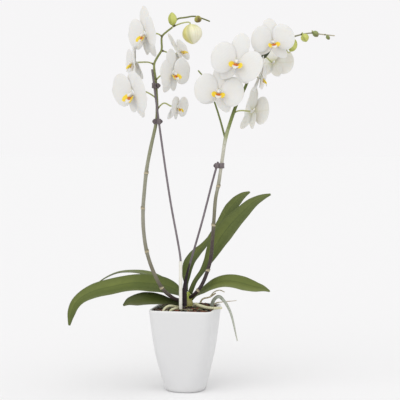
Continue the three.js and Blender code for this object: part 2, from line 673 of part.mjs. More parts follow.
const SPIKES = {
  spike_left: {
    // shares of the length and the radius at each of them
    radii: [[0, 3.3], [0.5, 3.3], [0.62, 2.7], [0.72, 2.2], [1, 1.2]],
    tied: 2.9, // the room that a clip leaves for the stem
    bracts: [0.103, 0.214, 0.336, 0.437],
    route: [
      [-1, -4, 161], [-20, -26, 169], [-40, -40, 188], [-55, -44, 216], [-68, -42, 254],
      [-74, -38, 293], [-75, -32, 330], [-73, -27, 360], [-69, -20, 400], [-62, -14, 438],
      [-52, -7, 486], [-51, -2, 508], [-53, 1, 555], [-56, 2, 588], [-50, 3, 601], [-43, 4, 613],
      [-42, 3, 637], [-33, 2, 646], [-22, 2, 655], [-15, 4, 668], [0, 4, 671], [16, 3, 673],
      [30, 2, 669], [43, 1, 664],
    ],
    side: null,
  },
  spike_right: {
    radii: [[0, 3.3], [0.4, 3.1], [0.6, 2.5], [0.75, 1.8], [1, 1]],
    tied: 3.2,
    bracts: [0.039, 0.107, 0.24, 0.356, 0.776],
    route: [
      [8, -5, 168], [17, -14, 176], [26, -18, 187], [34, -21, 203], [40, -22, 220],
      [45, -22, 239], [48, -21, 270], [51, -18, 311], [54, -14, 348], [59, -10, 372],
      [65, -6, 411], [72, -7, 456], [79, -8, 480], [92, -7, 517], [103, -3, 538], [111, 0, 556],
      [116, 3, 574], [125, 5, 589], [138, 6, 600], [149, 6, 611], [157, 6, 622], [170, 5, 629],
      [184, 4, 634], [210, 2, 641], [225, 1, 643], [241, 0, 641], [267, -2, 638],
    ],
    side: [[71, -7, 455], [63, -5, 485], [56, -3, 508], [49.5, -1, 527], [43, 1, 547],
      [36, 2, 561], [30, 2, 568], [23, 1, 576]],
  },
};

/** The main stalk of a spike, with its side branch if it has one. */
function stemSolid({ route, radii, side }, grow = 0) {
  const main = stalk(route, thinning(radii), { sides: SPIKE.sides, steps: SPIKE.steps, grow });
  if (!side) return main;
  const branch = { sides: SPIKE.sides - 1, steps: SPIKE.sideSteps, grow };
  return main.add(stalk(side, taper(...SPIKE.sideRadii), branch));
}

/** A thickened joint of the stem, wrapped in its small bract. */
function bractSolid({ route, radii }, share) {
  const path = new THREE.CatmullRomCurve3(vectors(route));
  const radius = thinning(radii)(share);
  const { length, foot, top } = SPIKE.bract;
  const collar = new THREE.CylinderGeometry(radius + top, radius + foot, length, SPIKE.sides);
  const turn = new THREE.Quaternion().setFromUnitVectors(vec(0, 1, 0), path.getTangentAt(share));
  const spot = path.getPointAt(share);
  return toSolid(collar.applyQuaternion(turn).translate(spot.x, spot.y, spot.z));
}

/** A whole spike as one body: stem, side branch, bracts and the stalks of blooms and buds. */
function spikeSolid(name) {
  const spike = SPIKES[name];
  const ownStalks = [
    ...BLOOMS.filter((bloom) => bloom.spike === name).map((bloom) => stalk(
      pedicelRoute(bloom), taper(PEDICEL.radius, PEDICEL.radius),
      { sides: PEDICEL.sides, steps: PEDICEL.steps },
    )),
    ...BUDS.filter((bud) => bud.spike === name).map(budStalk),
  ];
  const bracts = spike.bracts.map((share) => bractSolid(spike, share));
  return cut(join([stemSolid(spike), ...bracts, ...ownStalks]), [crownSolid(GAP)]);
}

// ---- Roots ----

const ROOTS = {
  root_over_bark: {
    colour: COLOURS.root,
    strands: [{ radii: [3, 1.6], route: [[13, -5, 148], [18, -17, 157], [24, -28, 157],
      [38, -34, 154], [52, -38, 153.5], [64, -38, 154]] }],
  },
  root_over_rim: {
    colour: COLOURS.aerial,
    strands: [{ radii: [3.9, 1.1], route: [[45, -6, 138], [47, -8, 152], [52, -12, 166],
      [60, -15, 171], [68, -18, 165], [75, -20, 155], [81, -20, 142], [86, -20, 124],
      [90, -20, 105], [93, -20, 92]] }],
  },
  roots_left: {
    colour: COLOURS.root,
    strands: [
      { radii: [2.6, 1.9], route: [[0, -8, 146], [-16, -26, 154], [-31, -38, 157], [-39, -43, 150],
        [-38, -42, 137]] },
      { radii: [2.2, 2.4], route: [[-14, -30, 152], [-19, -40, 153], [-26, -43, 150],
        [-30, -43, 136]] },
    ],
  },
  roots_fine: {
    colour: COLOURS.dryRoot,
    strands: [
      { radii: [1.8, 1.2], route: [[24, 4, 146], [30, -2, 164], [44, -6, 169], [54, -2, 175]] },
      { radii: [1.2, 0.8], route: [[44, -6, 169], [52, -4, 178], [62, -4, 181], [70, -6, 178]] },
    ],
  },
  root_dry_tip: {
    colour: COLOURS.dryRoot,
    strands: [{ radii: [1.3, 0.5], route: [[40, 6, 142], [54, 4, 156], [66, 0, 159],
      [92, -4, 162]] }],
  },
};

const rootSolid = ({ strands }, grow = 0) => join(strands.map(({ radii, route }) => stalk(
  route, taper(...radii), { sides: 5, steps: Math.round(1.4 * route.length), grow },
)));

// ---- The plant in its pot ----

const orchid = new THREE.Group();

const standing = {
  crown: crownSolid(GAP),
  sleeve: upright(SLEEVE, GAP),
  rod: rodSolid(ROD_ROUTES.rod_right, GAP),
};
const rootCutters = Object.values(ROOTS).map((root) => rootSolid(root, GAP));

orchid.add(mesh('pot', potSolid(), COLOURS.pot, 0.25));
orchid.add(mesh('bark', barkSolid([...Object.values(standing), ...rootCutters]),
  COLOURS.bark, 0.9));
orchid.add(mesh('crown', crownSolid(), COLOURS.crown));
// the feet of the leaves clasp the crown and each other
const clasped = [standing.crown];
for (const [name, stops] of Object.entries(LEAVES)) {
  orchid.add(mesh(name, cut(leafSolid({ stops }), clasped), COLOURS.leaf, 0.45));
  clasped.push(leafSolid({ stops }, GAP));
}
orchid.add(mesh('dry_sheath', cut(leafSolid(DRY_SHEATH), [standing.crown]), COLOURS.sheath, 0.8));

const rodCutters = Object.values(ROD_ROUTES).map((route) => rodSolid(route, GAP));
orchid.add(mesh('rod_sleeve', cut(upright(SLEEVE), rodCutters), COLOURS.sleeve, 0.4));
for (const [name, route] of Object.entries(ROD_ROUTES)) {
  orchid.add(mesh(name, rodSolid(route), COLOURS.rod, 0.5));
}
const stemCutters = Object.values(SPIKES).map((spike) => stemSolid(spike, GAP));
for (const clip of CLIPS) {
  orchid.add(mesh(clip.name, clipSolid(clip, [...rodCutters, ...stemCutters]), COLOURS.clip));
}

for (const name of Object.keys(SPIKES)) {
  orchid.add(mesh(name, spikeSolid(name), COLOURS.spike, 0.55));
}
for (const bloom of BLOOMS) {
  const flower = new THREE.Group();
  flower.add(mesh(bloom.name, tepalsSolid(bloom), COLOURS.tepal, 0.55));
  flower.add(mesh(`${bloom.name}_lip`, lipSolid(bloom.size), COLOURS.lip));
  flower.applyMatrix4(pose(bloom));
  orchid.add(flower);
}
for (const bud of BUDS) {
  orchid.add(mesh(bud.name, budSolid(bud), bud.colour));
}
for (const [name, root] of Object.entries(ROOTS)) {
  orchid.add(mesh(name, cut(rootSolid(root), [standing.crown]), root.colour, 0.7));
}

export default orchid;
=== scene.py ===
"""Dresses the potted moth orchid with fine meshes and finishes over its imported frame.

Sizes are millimetres in the frame of the CAD model; a mesh turns into metres when it is built.
"""

import logging
import random
from abc import ABC, abstractmethod
from collections.abc import Callable, Iterable, Sequence
from dataclasses import dataclass, field
from enum import Enum
from math import cos, exp, pi, radians, sin, sqrt, tan
from typing import NamedTuple

import bmesh
import bpy
from mathutils import Matrix, Vector, noise


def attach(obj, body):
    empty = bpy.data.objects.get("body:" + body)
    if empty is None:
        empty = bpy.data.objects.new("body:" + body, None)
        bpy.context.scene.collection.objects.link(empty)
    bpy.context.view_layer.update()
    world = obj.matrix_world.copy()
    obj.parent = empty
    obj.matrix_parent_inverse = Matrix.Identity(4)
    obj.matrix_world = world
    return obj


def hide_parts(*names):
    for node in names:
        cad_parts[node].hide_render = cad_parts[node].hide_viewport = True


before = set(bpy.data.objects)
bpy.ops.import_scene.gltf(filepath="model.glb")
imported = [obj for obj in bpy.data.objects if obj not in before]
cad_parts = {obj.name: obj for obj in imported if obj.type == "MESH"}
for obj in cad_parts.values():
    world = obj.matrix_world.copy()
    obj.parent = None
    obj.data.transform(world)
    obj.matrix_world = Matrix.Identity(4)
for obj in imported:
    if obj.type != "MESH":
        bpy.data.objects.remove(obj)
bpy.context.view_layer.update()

MM = 0.001
GAP = 0.3  # clearance that the frame leaves between pieces that touch
PLACE = "place"  # the texture map that holds a point's place along and across its piece
TONE = "tone"  # the attribute that tells a blade's back from its face, or one chip from another
BORDER = 0.5  # tone of the points on the border of a blade
MARKS = 12  # points measured between two stops of a route
SAMPLES = 300  # points tried where a route is searched
DOME = (0.35, 0.7, 0.92)  # where the rings of a rounded end lie, as shares of its radius
DOME_HEIGHT = 0.8  # height of a rounded end against its radius
ROD_RADIUS = 1.9
LOG = logging.getLogger("potted_orchid")

Socket = bpy.types.NodeSocket
Value = float | str | Sequence[float] | Socket  # a text is a colour such as "#e9e9ec"
Pair = tuple[float, float]
Pairs = tuple[Pair, ...]
Triple = tuple[float, float, float]
Triples = tuple[Triple, ...]
Shades = tuple[tuple[float, str], ...]  # places on a ramp and their colours
Surface = Callable[[float, float], Vector]


# ---- Curves and shapes ----


def lerp(low: float, high: float, share: float) -> float:
    """Returns the value at a share of the way from low to high."""
    return low + (high - low) * share


def between(rows: Sequence[Sequence[float]], place: float, column: int) -> float:
    """Reads a column of a table at a place between its rows.

    Args:
        rows: The table.
        place: The row, whole numbers being the rows themselves.
        column: The column to read.

    Returns:
        The value between the two rows next to the place.
    """
    low = min(max(int(place), 0), len(rows) - 2)
    return lerp(rows[low][column], rows[low + 1][column], place - low)


def reading(
    table: Sequence[Sequence[float]], place: float, column: int = 1, soft: bool = False
) -> float:
    """Reads a table of places and values.

    Args:
        table: Rows of a place and its values, in rising order of place.
        place: Where to read, from the first place to the last.
        column: Which value to read.
        soft: Whether the values ease in and out at the rows instead of running straight.

    Returns:
        The value between the two rows next to the place.
    """
    high = next((k for k, row in enumerate(table) if row[0] >= place and k), len(table) - 1)
    low, top = table[high - 1], table[high]
    share = (place - low[0]) / (top[0] - low[0])
    return lerp(low[column], top[column], share * share * (3 - 2 * share) if soft else share)


def circle(sides: int, start: float = 0.0) -> list[float]:
    """Returns the angles of points spread evenly round an axis."""
    return [2 * pi * (i + start) / sides for i in range(sides)]


def compass(angle: float) -> Vector:
    """Returns the level direction at an angle."""
    return Vector((cos(angle), sin(angle), 0))


def spin(degrees: float, axis: str | Vector, size: int = 4) -> Matrix:
    """Returns a turn about an axis."""
    return Matrix.Rotation(radians(degrees), size, axis)


class Route:
    """A smooth line through stops, with the same centripetal bends as the CAD source."""

    def __init__(self, stops: Iterable[Sequence[float]]) -> None:
        """Keeps the stops and measures the line.

        Args:
            stops: The points that the line passes, each with at least three numbers.
        """
        self.stops = [Vector(stop[:3]) for stop in stops]
        count = MARKS * (len(self.stops) - 1)
        points = [self.at(k / count) for k in range(count + 1)]
        self.marks = [0.0]
        for before, after in zip(points, points[1:]):
            self.marks.append(self.marks[-1] + (after - before).length)

    @property
    def length(self) -> float:
        """The length of the line."""
        return self.marks[-1]

    def at(self, t: float) -> Vector:
        """Finds a point of the line.

        Args:
            t: 0 at the first stop, 1 at the last one, even steps from stop to stop.

        Returns:
            The point.
        """
        stops, last = self.stops, len(self.stops) - 1
        low = min(int(t * last), last - 1)
        share = t * last - low
        one, two = stops[low], stops[low + 1]
        zero = stops[low - 1] if low else one * 2 - two
        three = stops[low + 2] if low + 2 <= last else two * 2 - one
        span = (two - one).length ** 0.5 or 1.0
        before = (one - zero).length ** 0.5 or span
        after = (three - two).length ** 0.5 or span
        start = (one - zero) / before - (two - zero) / (before + span) + (two - one) / span
        end = (two - one) / span - (three - one) / (span + after) + (three - two) / after
        start, end = start * span, end * span
        square, cube = share**2, share**3
        return (
            one * (2 * cube - 3 * square + 1)
            + start * (cube - 2 * square + share)
            + two * (3 * square - 2 * cube)
            + end * (cube - square)
        )

    def along(self, share: float) -> float:
        """Turns a share of the line's length into its t.

        Args:
            share: The share of the length.

        Returns:
            The t there.
        """
        goal = share * self.length
        high = next((k for k, mark in enumerate(self.marks) if mark >= goal), len(self.marks) - 1)
        low = max(high - 1, 0)
        room = (self.marks[high] - self.marks[low]) or 1.0
        return (low + (goal - self.marks[low]) / room) / (len(self.marks) - 1)

    def spot(self, share: float) -> Vector:
        """Finds the point at a share of the line's length."""
        return self.at(min(max(self.along(share), 0.0), 1.0))

    def heading(self, t: float) -> Vector:
        """Finds the direction of the line at t."""
        step = 1e-3
        return (self.at(min(t + step, 1.0)) - self.at(max(t - step, 0.0))).normalized()

    def share_near(self, target: Vector, samples: int = 400) -> float:
        """Returns the share of the length at which the line passes closest to a point."""
        spots = ((self.spot(k / samples) - target).length for k in range(samples + 1))
        return min(enumerate(spots), key=lambda pair: pair[1])[0] / samples


def link(name: str, data: bpy.types.ID) -> bpy.types.Object:
    """Makes an object and links it to the scene.

    Args:
        name: Its name.
        data: What it holds.

    Returns:
        The object.
    """
    made = bpy.data.objects.new(name, data)
    bpy.context.scene.collection.objects.link(made)
    return made


@dataclass
class Shape:
    """Points in millimetres, faces, and for each face corner its place along and across."""

    points: list[Vector] = field(default_factory=list)
    tones: list[float] = field(default_factory=list)
    faces: list[tuple[int, ...]] = field(default_factory=list)
    places: list[Pair] = field(default_factory=list)

    def point(self, spot: Vector, tone: float = 0.0) -> int:
        """Adds a point.

        Args:
            spot: Where it lies.
            tone: Its tone.

        Returns:
            Its number.
        """
        self.points.append(spot)
        self.tones.append(tone)
        return len(self.points) - 1

    def face(self, numbers: Sequence[int], places: Sequence[Pair]) -> None:
        """Adds a face, leaving out corners that fall together.

        Args:
            numbers: The points of the face, in order.
            places: The place along and across at each of them.
        """
        kept = [k for k, number in enumerate(numbers) if number != numbers[k - 1]]
        if len(kept) > 2:
            self.faces.append(tuple(numbers[k] for k in kept))
            self.places.extend(places[k] for k in kept)

    def band(self, row: Sequence[int], after: Sequence[int], low: float, high: float) -> None:
        """Adds the faces between two closed rows of points.

        Args:
            row: The points of the first row.
            after: The points of the next row, as many.
            low: The first row's place along.
            high: The next row's place along.
        """
        count = len(row)
        for i in range(count):
            j, left, right = (i + 1) % count, i / count, (i + 1) / count
            places = [(low, left), (low, right), (high, right), (high, left)]
            self.face([row[i], row[j], after[j], after[i]], places)

    def add(self, other: "Shape", move: Matrix | None = None) -> "Shape":
        """Takes in a copy of another shape.

        Args:
            other: The shape to copy.
            move: Where it goes, or None to leave it where it is.

        Returns:
            This shape.
        """
        base = len(self.points)
        self.points += [move @ p if move else p.copy() for p in other.points]
        self.tones += other.tones
        self.faces += [tuple(base + k for k in numbers) for numbers in other.faces]
        self.places += other.places
        return self

    def object(self, name: str, levels: int = 0, smooth: bool = True) -> bpy.types.Object:
        """Makes a Blender object of the shape, in metres.

        Args:
            name: The object's name.
            levels: How often its surface is subdivided.
            smooth: Whether its faces shade as one surface.

        Returns:
            The object, linked to the scene.
        """
        mesh = bpy.data.meshes.new(name)
        mesh.from_pydata([p * MM for p in self.points], [], self.faces)
        layer = mesh.uv_layers.new(name=PLACE)
        layer.uv.foreach_set("vector", [value for place in self.places for value in place])
        tone = mesh.attributes.new(TONE, "FLOAT", "POINT")
        tone.data.foreach_set("value", self.tones)
        work = bmesh.new()
        work.from_mesh(mesh)
        bmesh.ops.recalc_face_normals(work, faces=work.faces)
        work.to_mesh(mesh)
        work.free()
        mesh.polygons.foreach_set("use_smooth", [smooth] * len(mesh.polygons))
        for edge in mesh.edges:
            edge.use_edge_sharp = all(self.tones[k] == BORDER for k in edge.vertices)
        made = link(name, mesh)
        if levels:
            finer = made.modifiers.new("finer", "SUBSURF")
            finer.levels = finer.render_levels = levels
        return made


def loft(rings: Sequence[Sequence[Vector]], tones: Sequence[float] | None = None) -> Shape:
    """Skins a row of closed rings and closes both ends with a point in their middle.

    Args:
        rings: Rings with the same number of points.
        tones: The tone of each ring, or None for 0.

    Returns:
        The closed shape, its places running from ring to ring and round the rings.
    """
    shape, count, last = Shape(), len(rings[0]), len(rings) - 1
    tones = tones or [0.0] * len(rings)
    rows = [[shape.point(p, tone) for p in ring] for ring, tone in zip(rings, tones)]
    for k, (row, after) in enumerate(zip(rows, rows[1:])):
        shape.band(row, after, k / last, (k + 1) / last)
    for row, ring, at in ((rows[0], rings[0], 0.0), (rows[-1], rings[-1], 1.0)):
        middle = shape.point(sum(ring, Vector()) / count, tones[0 if at == 0 else -1])
        for i in range(count):
            sides = [(at, i / count), (at, (i + 1) / count), (at, (i + 0.5) / count)]
            shape.face([row[i], row[(i + 1) % count], middle], sides)
    return shape


def tube(
    route: Route,
    radius: Callable[[float], float],
    sides: int = 12,
    step: float = 5.0,
) -> Shape:
    """Makes a round stalk with domed ends along a route.

    Args:
        route: The line through its middle.
        radius: Its radius at a share of its length.
        sides: Points round it.
        step: Distance between its rings.

    Returns:
        The closed shape.
    """
    count = max(int(route.length / step), 3)
    shares = [k / count for k in range(count + 1)]
    rings: list[list[Vector]] = []
    heading = route.heading(0.0)
    side = heading.orthogonal().normalized()

    def ring(centre: Vector, width: float) -> list[Vector]:
        """Makes a ring across the current heading.

        Args:
            centre: Its middle.
            width: Its radius.

        Returns:
            Its points.
        """
        other = heading.cross(side)
        return [
            centre + (side * cos(a) + other * sin(a)) * width for a in circle(sides)
        ]

    def dome(centre: Vector, width: float, way: float) -> list[list[Vector]]:
        """Makes the rings of a rounded end.

        Args:
            centre: The middle of the end.
            width: The radius there.
            way: 1 for the end, -1 for the start.

        Returns:
            The rings, from the stalk outwards.
        """
        return [
            ring(centre + heading * (way * width * DOME_HEIGHT * b), width * sqrt(1 - b * b))
            for b in DOME
        ]

    rings += reversed(dome(route.at(0.0), radius(0.0), -1.0))
    for share in shares:
        t = min(max(route.along(share), 0.0), 1.0)
        turned = route.heading(t)
        side = (heading.rotation_difference(turned) @ side).normalized()
        heading = turned
        rings.append(ring(route.at(t), radius(share)))
    rings += dome(route.at(1.0), radius(1.0), 1.0)
    return loft(rings)


def blade(
    surface: Surface,
    along: int,
    across: int,
    thickness: Callable[[float, float], float],
) -> Shape:
    """Makes a thin closed blade whose edges are pinched to a line.

    Args:
        surface: Its middle, with u from 0 at the foot to 1 at the tip and v from -1 to 1.
        along: Steps from foot to tip.
        across: Steps from side to side.
        thickness: Its thickness at u and v.

    Returns:
        The closed shape, with tone 0 on its face, 1 on its back and BORDER on its border.
    """
    spots = [
        [surface(i / along, 2 * j / across - 1) for j in range(across + 1)]
        for i in range(along + 1)
    ]
    shape = Shape()
    face: list[list[int]] = []
    back: list[list[int]] = []
    out = Vector((0, 0, 1))
    for i, row in enumerate(spots):
        face.append([])
        back.append([])
        ahead, behind = spots[min(i + 1, along)], spots[max(i - 1, 0)]
        for j, spot in enumerate(row):
            cross = (ahead[j] - behind[j]).cross(row[min(j + 1, across)] - row[max(j - 1, 0)])
            out = cross.normalized() if cross.length > 1e-4 else out
            u, v = i / along, 2 * j / across - 1
            if i in (0, along) or j in (0, across):
                face[-1].append(shape.point(spot, BORDER))
                back[-1].append(face[-1][-1])
            else:
                lift = out * (thickness(u, v) / 2)
                face[-1].append(shape.point(spot + lift))
                back[-1].append(shape.point(spot - lift, 1.0))
    for i in range(along):
        for j in range(across):
            corners = [(i, j), (i, j + 1), (i + 1, j + 1), (i + 1, j)]
            places = [(a / along, b / across) for a, b in corners]
            shape.face([face[a][b] for a, b in corners], places)
            shape.face([back[a][b] for a, b in reversed(corners)], places[::-1])
    return shape


def ringed(
    levels: Sequence[Pair], sides: int, spot: Callable[[float, float, float], Vector]
) -> Shape:
    """Makes a closed body of rings.

    Args:
        levels: The two numbers that describe each ring.
        sides: Points round a ring.
        spot: Gives the point at a ring's two numbers and an angle.

    Returns:
        The closed shape.
    """
    return loft([[spot(*level, angle) for angle in circle(sides)] for level in levels])


def turned(outline: Sequence[Pair], sides: int = 24) -> Shape:
    """Turns a closed outline of radius and height about the upright axis.

    Args:
        outline: The section, all round.
        sides: Points round the axis.

    Returns:
        The closed ring.
    """
    shape, count = Shape(), len(outline)
    rows = [
        [shape.point(Vector((r * cos(a), r * sin(a), h))) for a in circle(sides)]
        for r, h in outline
    ]
    for k in range(count):
        shape.band(rows[k], rows[(k + 1) % count], k / count, (k + 1) / count)
    return shape


# ---- Node trees and shared effects ----


def paint(code: str) -> tuple[float, float, float, float]:
    """Turns a colour such as "#e9e9ec" into the linear values that a shader takes.

    Args:
        code: The colour.

    Returns:
        Its red, green, blue and alpha.
    """
    parts = [int(code[k : k + 2], 16) / 255 for k in (1, 3, 5)]
    linear = [p / 12.92 if p <= 0.04045 else ((p + 0.055) / 1.055) ** 2.4 for p in parts]
    return (linear[0], linear[1], linear[2], 1.0)


class Effect(Enum):
    """The surface effects that several finishes share, one node group each."""

    MOTTLE = "Mottle"
    VEINS = "Lengthwise veins"
    GRAIN = "Skin grain"
    SPECKLE = "Speckle"
    MARGIN = "Margin"


class Graph:
    """Adds nodes to one node tree and joins them."""

    def __init__(self, tree: bpy.types.NodeTree) -> None:
        """Keeps the tree to draw in."""
        self.tree = tree

    def add(self, kind: str, inputs: dict[str | int, Value], **settings: object) -> bpy.types.Node:
        """Adds a node.

        Args:
            kind: The node's type.
            inputs: A value or a socket for each named or numbered input.
            **settings: The node's own settings.

        Returns:
            The node.
        """
        made = self.tree.nodes.new(kind)
        for name, value in settings.items():
            setattr(made, name, value)
        for name, value in inputs.items():
            if isinstance(value, Socket):
                self.tree.links.new(value, made.inputs[name])
            else:
                made.inputs[name].default_value = paint(value) if isinstance(value, str) else value
        return made

    def math(self, operation: str, a: Value, b: Value = 0.0, clamp: bool = False) -> Socket:
        """Returns the result of one arithmetic step."""
        step = self.add("ShaderNodeMath", {0: a, 1: b}, operation=operation, use_clamp=clamp)
        return step.outputs[0]

    def times(self, a: Value, b: Value) -> Socket:
        """Returns the product of two values."""
        return self.math("MULTIPLY", a, b)

    def plus(self, a: Value, b: Value, clamp: bool = False) -> Socket:
        """Returns the sum of two values, held between 0 and 1 where clamped."""
        return self.math("ADD", a, b, clamp)

    def minus(self, a: Value, b: Value, clamp: bool = False) -> Socket:
        """Returns the difference of two values, held between 0 and 1 where clamped."""
        return self.math("SUBTRACT", a, b, clamp)

    def drift(self, mask: Value, reach: Value) -> Socket:
        """Returns a mask moved about 0 and scaled, to shift other values with."""
        return self.times(self.minus(mask, 0.5), reach)

    def mix(self, share: Value, a: Value, b: Value) -> Socket:
        """Returns colour a with a share of colour b blended in."""
        made = self.add("ShaderNodeMix", {0: share, 6: a, 7: b}, data_type="RGBA")
        return made.outputs[2]

    def tint(self, colour: Value, other: Value, mask: Value, share: float) -> Socket:
        """Returns a colour with a share of another one blended in where the mask is 1."""
        return self.mix(self.times(mask, share), colour, other)

    def levels(
        self, value: Value, low: float, high: float, to: float = 0.0, top: float = 1.0
    ) -> Socket:
        """Maps a value smoothly from low..high to to..top, and holds it beyond them."""
        inputs = {0: value, 1: low, 2: high, 3: to, 4: top}
        return self.add("ShaderNodeMapRange", inputs, interpolation_type="SMOOTHSTEP").outputs[0]

    def ramp(self, value: Value, stops: Sequence[tuple[float, str]]) -> Socket:
        """Returns the colour of a ramp.

        Args:
            value: The place on the ramp, 0 to 1.
            stops: Places and their colours.

        Returns:
            The colour.
        """
        made = self.add("ShaderNodeValToRGB", {0: value})
        elements = made.color_ramp.elements
        while len(elements) < len(stops):
            elements.new(1.0)
        for element, (place, code) in zip(elements, stops):
            element.position = place
            element.color = paint(code)
        return made.outputs[0]

    def noise(self, spot: Socket, scale: Value, detail: float = 3.0) -> Socket:
        """Returns cloudy noise from 0 to 1."""
        inputs = {"Vector": spot, "Scale": scale, "Detail": detail}
        return self.add("ShaderNodeTexNoise", inputs).outputs[0]

    def stretch(self, spot: Socket, by: Triple) -> Socket:
        """Returns a place scaled apart along each axis."""
        return self.add("ShaderNodeMapping", {"Vector": spot, "Scale": by}).outputs[0]

    def effect(self, effect: Effect, **inputs: Value) -> dict[str, Socket]:
        """Places a shared effect in this tree.

        Args:
            effect: The effect.
            **inputs: Values for its inputs, by name.

        Returns:
            Its outputs by name.
        """
        made = self.add("ShaderNodeGroup", inputs, node_tree=EffectShelf.tree(effect))
        return {socket.name: socket for socket in made.outputs}


class EffectShelf:
    """Builds each shared effect once, as a node group."""

    @classmethod
    def tree(cls, effect: Effect) -> bpy.types.NodeTree:
        """Finds the node group of an effect, building it at its first use.

        Args:
            effect: The effect.

        Returns:
            The node group.
        """
        known = bpy.data.node_groups.get(effect.value)
        if known:
            return known
        made = bpy.data.node_groups.new(effect.value, "ShaderNodeTree")
        getattr(cls, effect.name.lower())(made)
        return made

    @staticmethod
    def open(
        tree: bpy.types.NodeTree, inputs: Sequence[str], outputs: Sequence[str]
    ) -> tuple[Graph, dict[str, Socket], bpy.types.Node]:
        """Gives a node group its sockets, the first being the Spot on the piece.

        Args:
            tree: The node group.
            inputs: The names of its other inputs, all of them numbers.
            outputs: The names of its outputs, all of them masks or heights.

        Returns:
            A graph to draw in, the inputs by name, and the node that takes the outputs.
        """
        tree.interface.new_socket("Spot", in_out="INPUT", socket_type="NodeSocketVector")
        for way, names in (("INPUT", inputs), ("OUTPUT", outputs)):
            for name in names:
                tree.interface.new_socket(name, in_out=way, socket_type="NodeSocketFloat")
        entry = tree.nodes.new("NodeGroupInput")
        given = {socket.name: socket for socket in entry.outputs if socket.name}
        return Graph(tree), given, tree.nodes.new("NodeGroupOutput")

    @classmethod
    def mottle(cls, tree: bpy.types.NodeTree) -> None:
        """Soft patches of two sizes: Mask, and the smaller ones alone as Fine.

        Args:
            tree: The node group.
        """
        g, given, result = cls.open(tree, ["Scale", "Contrast"], ["Mask", "Fine"])
        large = g.noise(given["Spot"], given["Scale"], 2.0)
        small = g.noise(given["Spot"], g.times(given["Scale"], 4.3), 4.0)
        both = g.plus(g.times(large, 0.65), g.times(small, 0.35))
        for name, value in (("Mask", both), ("Fine", small)):
            centred = g.drift(value, given["Contrast"])
            tree.links.new(g.plus(centred, 0.5, clamp=True), result.inputs[name])

    @classmethod
    def veins(cls, tree: bpy.types.NodeTree) -> None:
        """Fine lines that run along a blade and meet at its ends, and its midrib.

        Args:
            tree: The node group.
        """
        names = ["Across", "Count", "Wander", "Rib"]
        g, given, result = cls.open(tree, names, ["Lines", "Midrib"])
        drift = g.minus(g.noise(given["Spot"], 90.0, 2.0), 0.5)
        placed = g.plus(given["Across"], g.times(drift, given["Wander"]))
        turns = g.times(g.times(placed, given["Count"]), pi)
        wave = g.math("ABSOLUTE", g.math("SINE", turns))
        line = g.math("POWER", g.minus(1.0, wave, clamp=True), 3.0)
        tree.links.new(line, result.inputs["Lines"])
        off = g.math("DIVIDE", g.math("ABSOLUTE", given["Across"]), given["Rib"])
        tree.links.new(g.levels(off, 0.2, 1.0, 1.0, 0.0), result.inputs["Midrib"])

    @classmethod
    def grain(cls, tree: bpy.types.NodeTree) -> None:
        """The small cells and dents of a skin, as Height.

        Args:
            tree: The node group.
        """
        g, given, result = cls.open(tree, ["Scale"], ["Height"])
        inputs = {"Vector": given["Spot"], "Scale": given["Scale"]}
        cells = g.add("ShaderNodeTexVoronoi", inputs, feature="SMOOTH_F1").outputs["Distance"]
        cloud = g.noise(given["Spot"], g.times(given["Scale"], 0.6), 5.0)
        height = g.plus(g.times(cells, 0.45), g.times(cloud, 0.55))
        tree.links.new(height, result.inputs["Height"])

    @classmethod
    def speckle(cls, tree: bpy.types.NodeTree) -> None:
        """Scattered round spots of a size, as Mask.

        Args:
            tree: The node group.
        """
        g, given, result = cls.open(tree, ["Scale", "Size"], ["Mask"])
        spots = {"Vector": given["Spot"], "Scale": given["Scale"]}
        away = g.add("ShaderNodeTexVoronoi", spots).outputs["Distance"]
        share = g.math("DIVIDE", away, given["Size"])
        tree.links.new(g.levels(share, 0.5, 1.0, 1.0, 0.0), result.inputs["Mask"])

    @classmethod
    def margin(cls, tree: bpy.types.NodeTree) -> None:
        """The rim of a blade, 1 at its edge, as Mask, uneven with its Ragged share.

        Args:
            tree: The node group.
        """
        g, given, result = cls.open(tree, ["Along", "Across", "Width", "Ragged"], ["Mask"])
        drift = g.minus(g.noise(given["Spot"], 260.0, 3.0), 0.5)
        side = g.math("ABSOLUTE", given["Across"])
        edge = g.math("MAXIMUM", side, given["Along"])
        edge = g.plus(edge, g.times(drift, given["Ragged"]))
        start = g.minus(1.0, given["Width"])
        share = g.math("DIVIDE", g.minus(edge, start), given["Width"], clamp=True)
        tree.links.new(g.times(share, share), result.inputs["Mask"])


# ---- Finishes ----


class Look(NamedTuple):
    """What changes over a finish: its colour, its dullness from 0 to 1 and its height."""

    colour: Socket
    dull: Socket
    height: Socket


